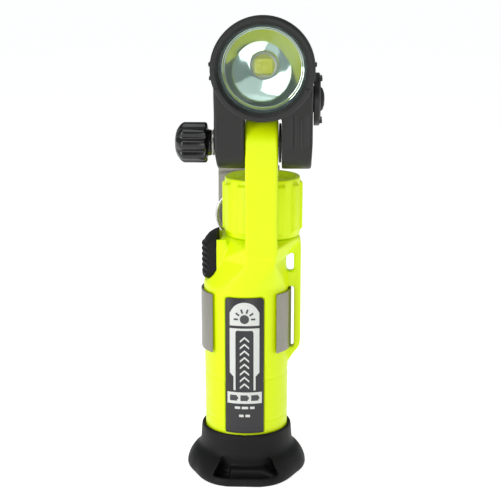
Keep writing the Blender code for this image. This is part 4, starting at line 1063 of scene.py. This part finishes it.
# %% Reflector and light source
FOCAL, VERTEX = 4.35, 9.77
THROAT_DEPTH, RIM_DEPTH = 2.0, 14.0
LED_BOARD_R, DOME_FOOT = 5.6 * MM, 10.3 * MM
depths = [THROAT_DEPTH + (RIM_DEPTH - THROAT_DEPTH) * (i / 40) ** 1.3 for i in range(41)]
inner = [(math.sqrt(4 * FOCAL * depth), VERTEX + depth) for depth in depths]
outer = [(15.75, 24.0), (15.95, 24.1), (16.15, 24.6), (16.5, 26.0), (16.7, 26.1), (17.1, 26.0), (17.1, 25.2)]
outer += [(r + 0.35, z - 1.0) for r, z in inner[-1:0:-4]]
outer.append((inner[0][0], inner[0][1] - 0.2))
cup = turned(scaled(inner + outer), head_front, "front", 192, closed=True)
piece(("reflector_skin", cup), reflector_metal, "head", ["reflector"], sharp=25)

low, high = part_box("led_board")
profile = soften([(0, -low.y), (LED_BOARD_R, -low.y), (LED_BOARD_R, -high.y), (0, -high.y)], 0.15 * MM)
board = turned(profile, head_front, "front", 96)
piece(("led_board_skin", board), white_mask, "head", ["led_board"])
low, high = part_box("led_emitter")
chip = block(low, high, 0.1 * MM)
piece(("led_emitter_skin", chip), phosphor, "head", ["led_emitter"])
low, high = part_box("led_dome")
dome_r, dome_base = (high.x - low.x) / 2, -high.y
profile = [(0, dome_base + dome_r)]
profile += [(dome_r * math.sin(a), dome_base + dome_r * math.cos(a))
            for a in [math.radians(3 * i) for i in range(1, 31)]]
profile += [(dome_r, DOME_FOOT), (0, DOME_FOOT)]
dome = turned(profile, head_front, "front", 96)
piece(("led_dome_skin", dome), dome_silicone, "head", ["led_dome"], sharp=60)

# %% [markdown]
# ## The head switch
# A round flange on the right face holds a domed rubber key. Both are lathe profiles that face right.
# Four small nubs stand near the flange's rim, where a tool turns it.

# %% Head switch
SWITCH_NUB_R = 9.9 * MM
switch_at = Vector((0, switch_axis.y, switch_axis.z))
profile = soften(scaled([(6.0, 31.0, 0.4), (7.0, 31.6, 0.5), (9.8, 31.6, 0.5), (11.1, 31.0, 0.5),
                         (11.1, 28.8, 0.3), (6.0, 28.8, 0.2)]), 0.2 * MM, closed=True, steps=5)
flange = as_object("switch_ring_skin", turned(profile, switch_at, "right", 160, closed=True))
nubs = []
for degrees in (62, 118, 242, 298):
    y = switch_axis.y + SWITCH_NUB_R * math.cos(math.radians(degrees))
    z = switch_axis.z + SWITCH_NUB_R * math.sin(math.radians(degrees))
    nubs.append(block((30.5 * MM, y - 0.8 * MM, z - 0.8 * MM), (32.3 * MM, y + 0.8 * MM, z + 0.8 * MM),
                      0.25 * MM))
combine(flange, nubs, "UNION")
piece(flange, black_nylon, "head", ["switch_ring"], sharp=35)
profile = soften([(0, 33.3), (2.4, 33.15), (4.4, 32.5), (5.5, 31.3), (5.6, 30.6), (5.6, 27.4)], 1.2, steps=6)
profile.append((0, 27.4))
key = turned(scaled(profile), switch_at, "right", 128)
piece(("head_button_skin", key), black_rubber, "head_key", ["head_button"])

# %% [markdown]
# ## Floor and light
# Small products are often shown on a white light table, which hides the floor's edge. Here a plain
# floor that glows a little stands in for it, under a dim, even surround. A tall soft key light stands
# on the left and a weak, narrow one on the right. A soft light overhead and a panel in front fill the
# shadows, and the panel is what the reflector and the lens mirror.

# %% Floor and light
floor_mesh = bmesh.new()
bmesh.ops.create_grid(floor_mesh, x_segments=1, y_segments=1, size=30.0)
floor = as_object("floor", floor_mesh)
light_table, tree, shader = surface("white_light_table", "#F2F2F1", 0.8, Specular_IOR_Level=0.1)
shader.inputs["Emission Color"].default_value = linear("#FFFFFF")
shader.inputs["Emission Strength"].default_value = 0.74
floor.data.materials.append(light_table)

world = bpy.data.worlds.new("studio")
bpy.context.scene.world = world
world.use_nodes = True
world.node_tree.nodes["Background"].inputs["Color"].default_value = linear("#F4F8FB")
world.node_tree.nodes["Background"].inputs["Strength"].default_value = 0.30


def soft_light(name, place, target, size, power):
    """A rectangular light that is aimed at a target and is not itself seen."""
    data = bpy.data.lights.new(name, "AREA")
    data.shape = "RECTANGLE"
    data.size, data.size_y = size
    data.energy = power
    light = bpy.data.objects.new(name, data)
    light.location = place
    light.visible_camera = False
    light.rotation_euler = (Vector(target) - Vector(place)).to_track_quat("-Z", "Y").to_euler()
    bpy.context.scene.collection.objects.link(light)


middle = (0.0, 0.0, 0.11)
soft_light("key_left", (-0.60, -0.50, 0.36), middle, (0.3, 0.6), 3.0)
soft_light("rim_right", (0.65, 0.05, 0.35), middle, (0.12, 0.6), 0.8)
soft_light("top_front", (-0.15, -0.25, 0.75), middle, (0.5, 0.3), 1.0)
soft_light("front_panel", (0.18, -0.80, 0.21), (0.0, 0.0, 0.18), (0.32, 0.30), 1.1)
print("lights: key, rim, top and front panel")

# %% [markdown]
# ## Camera
# The camera stands a little above the lamp and slightly to its right, and looks gently down at it. A
# long lens keeps the tall lamp upright.

# %% Camera
AZIMUTH, PITCH = math.radians(2.45), math.radians(13.11)
DISTANCE, HEIGHT, SIDE = 550 * MM, 227 * MM, 1.6 * MM
camera_data = bpy.data.cameras.new("camera")
camera_data.lens, camera_data.sensor_width = 92.6, 36.0
camera = bpy.data.objects.new("camera", camera_data)
camera.location = (SIDE * math.cos(AZIMUTH) + DISTANCE * math.sin(AZIMUTH),
                   SIDE * math.sin(AZIMUTH) - DISTANCE * math.cos(AZIMUTH), HEIGHT)
camera.rotation_euler = (math.pi / 2 - PITCH, 0, AZIMUTH)
bpy.context.scene.collection.objects.link(camera)
bpy.context.scene.camera = camera
bpy.context.scene.view_settings.view_transform = "Standard"
print("camera at", [round(value, 3) for value in camera.location])
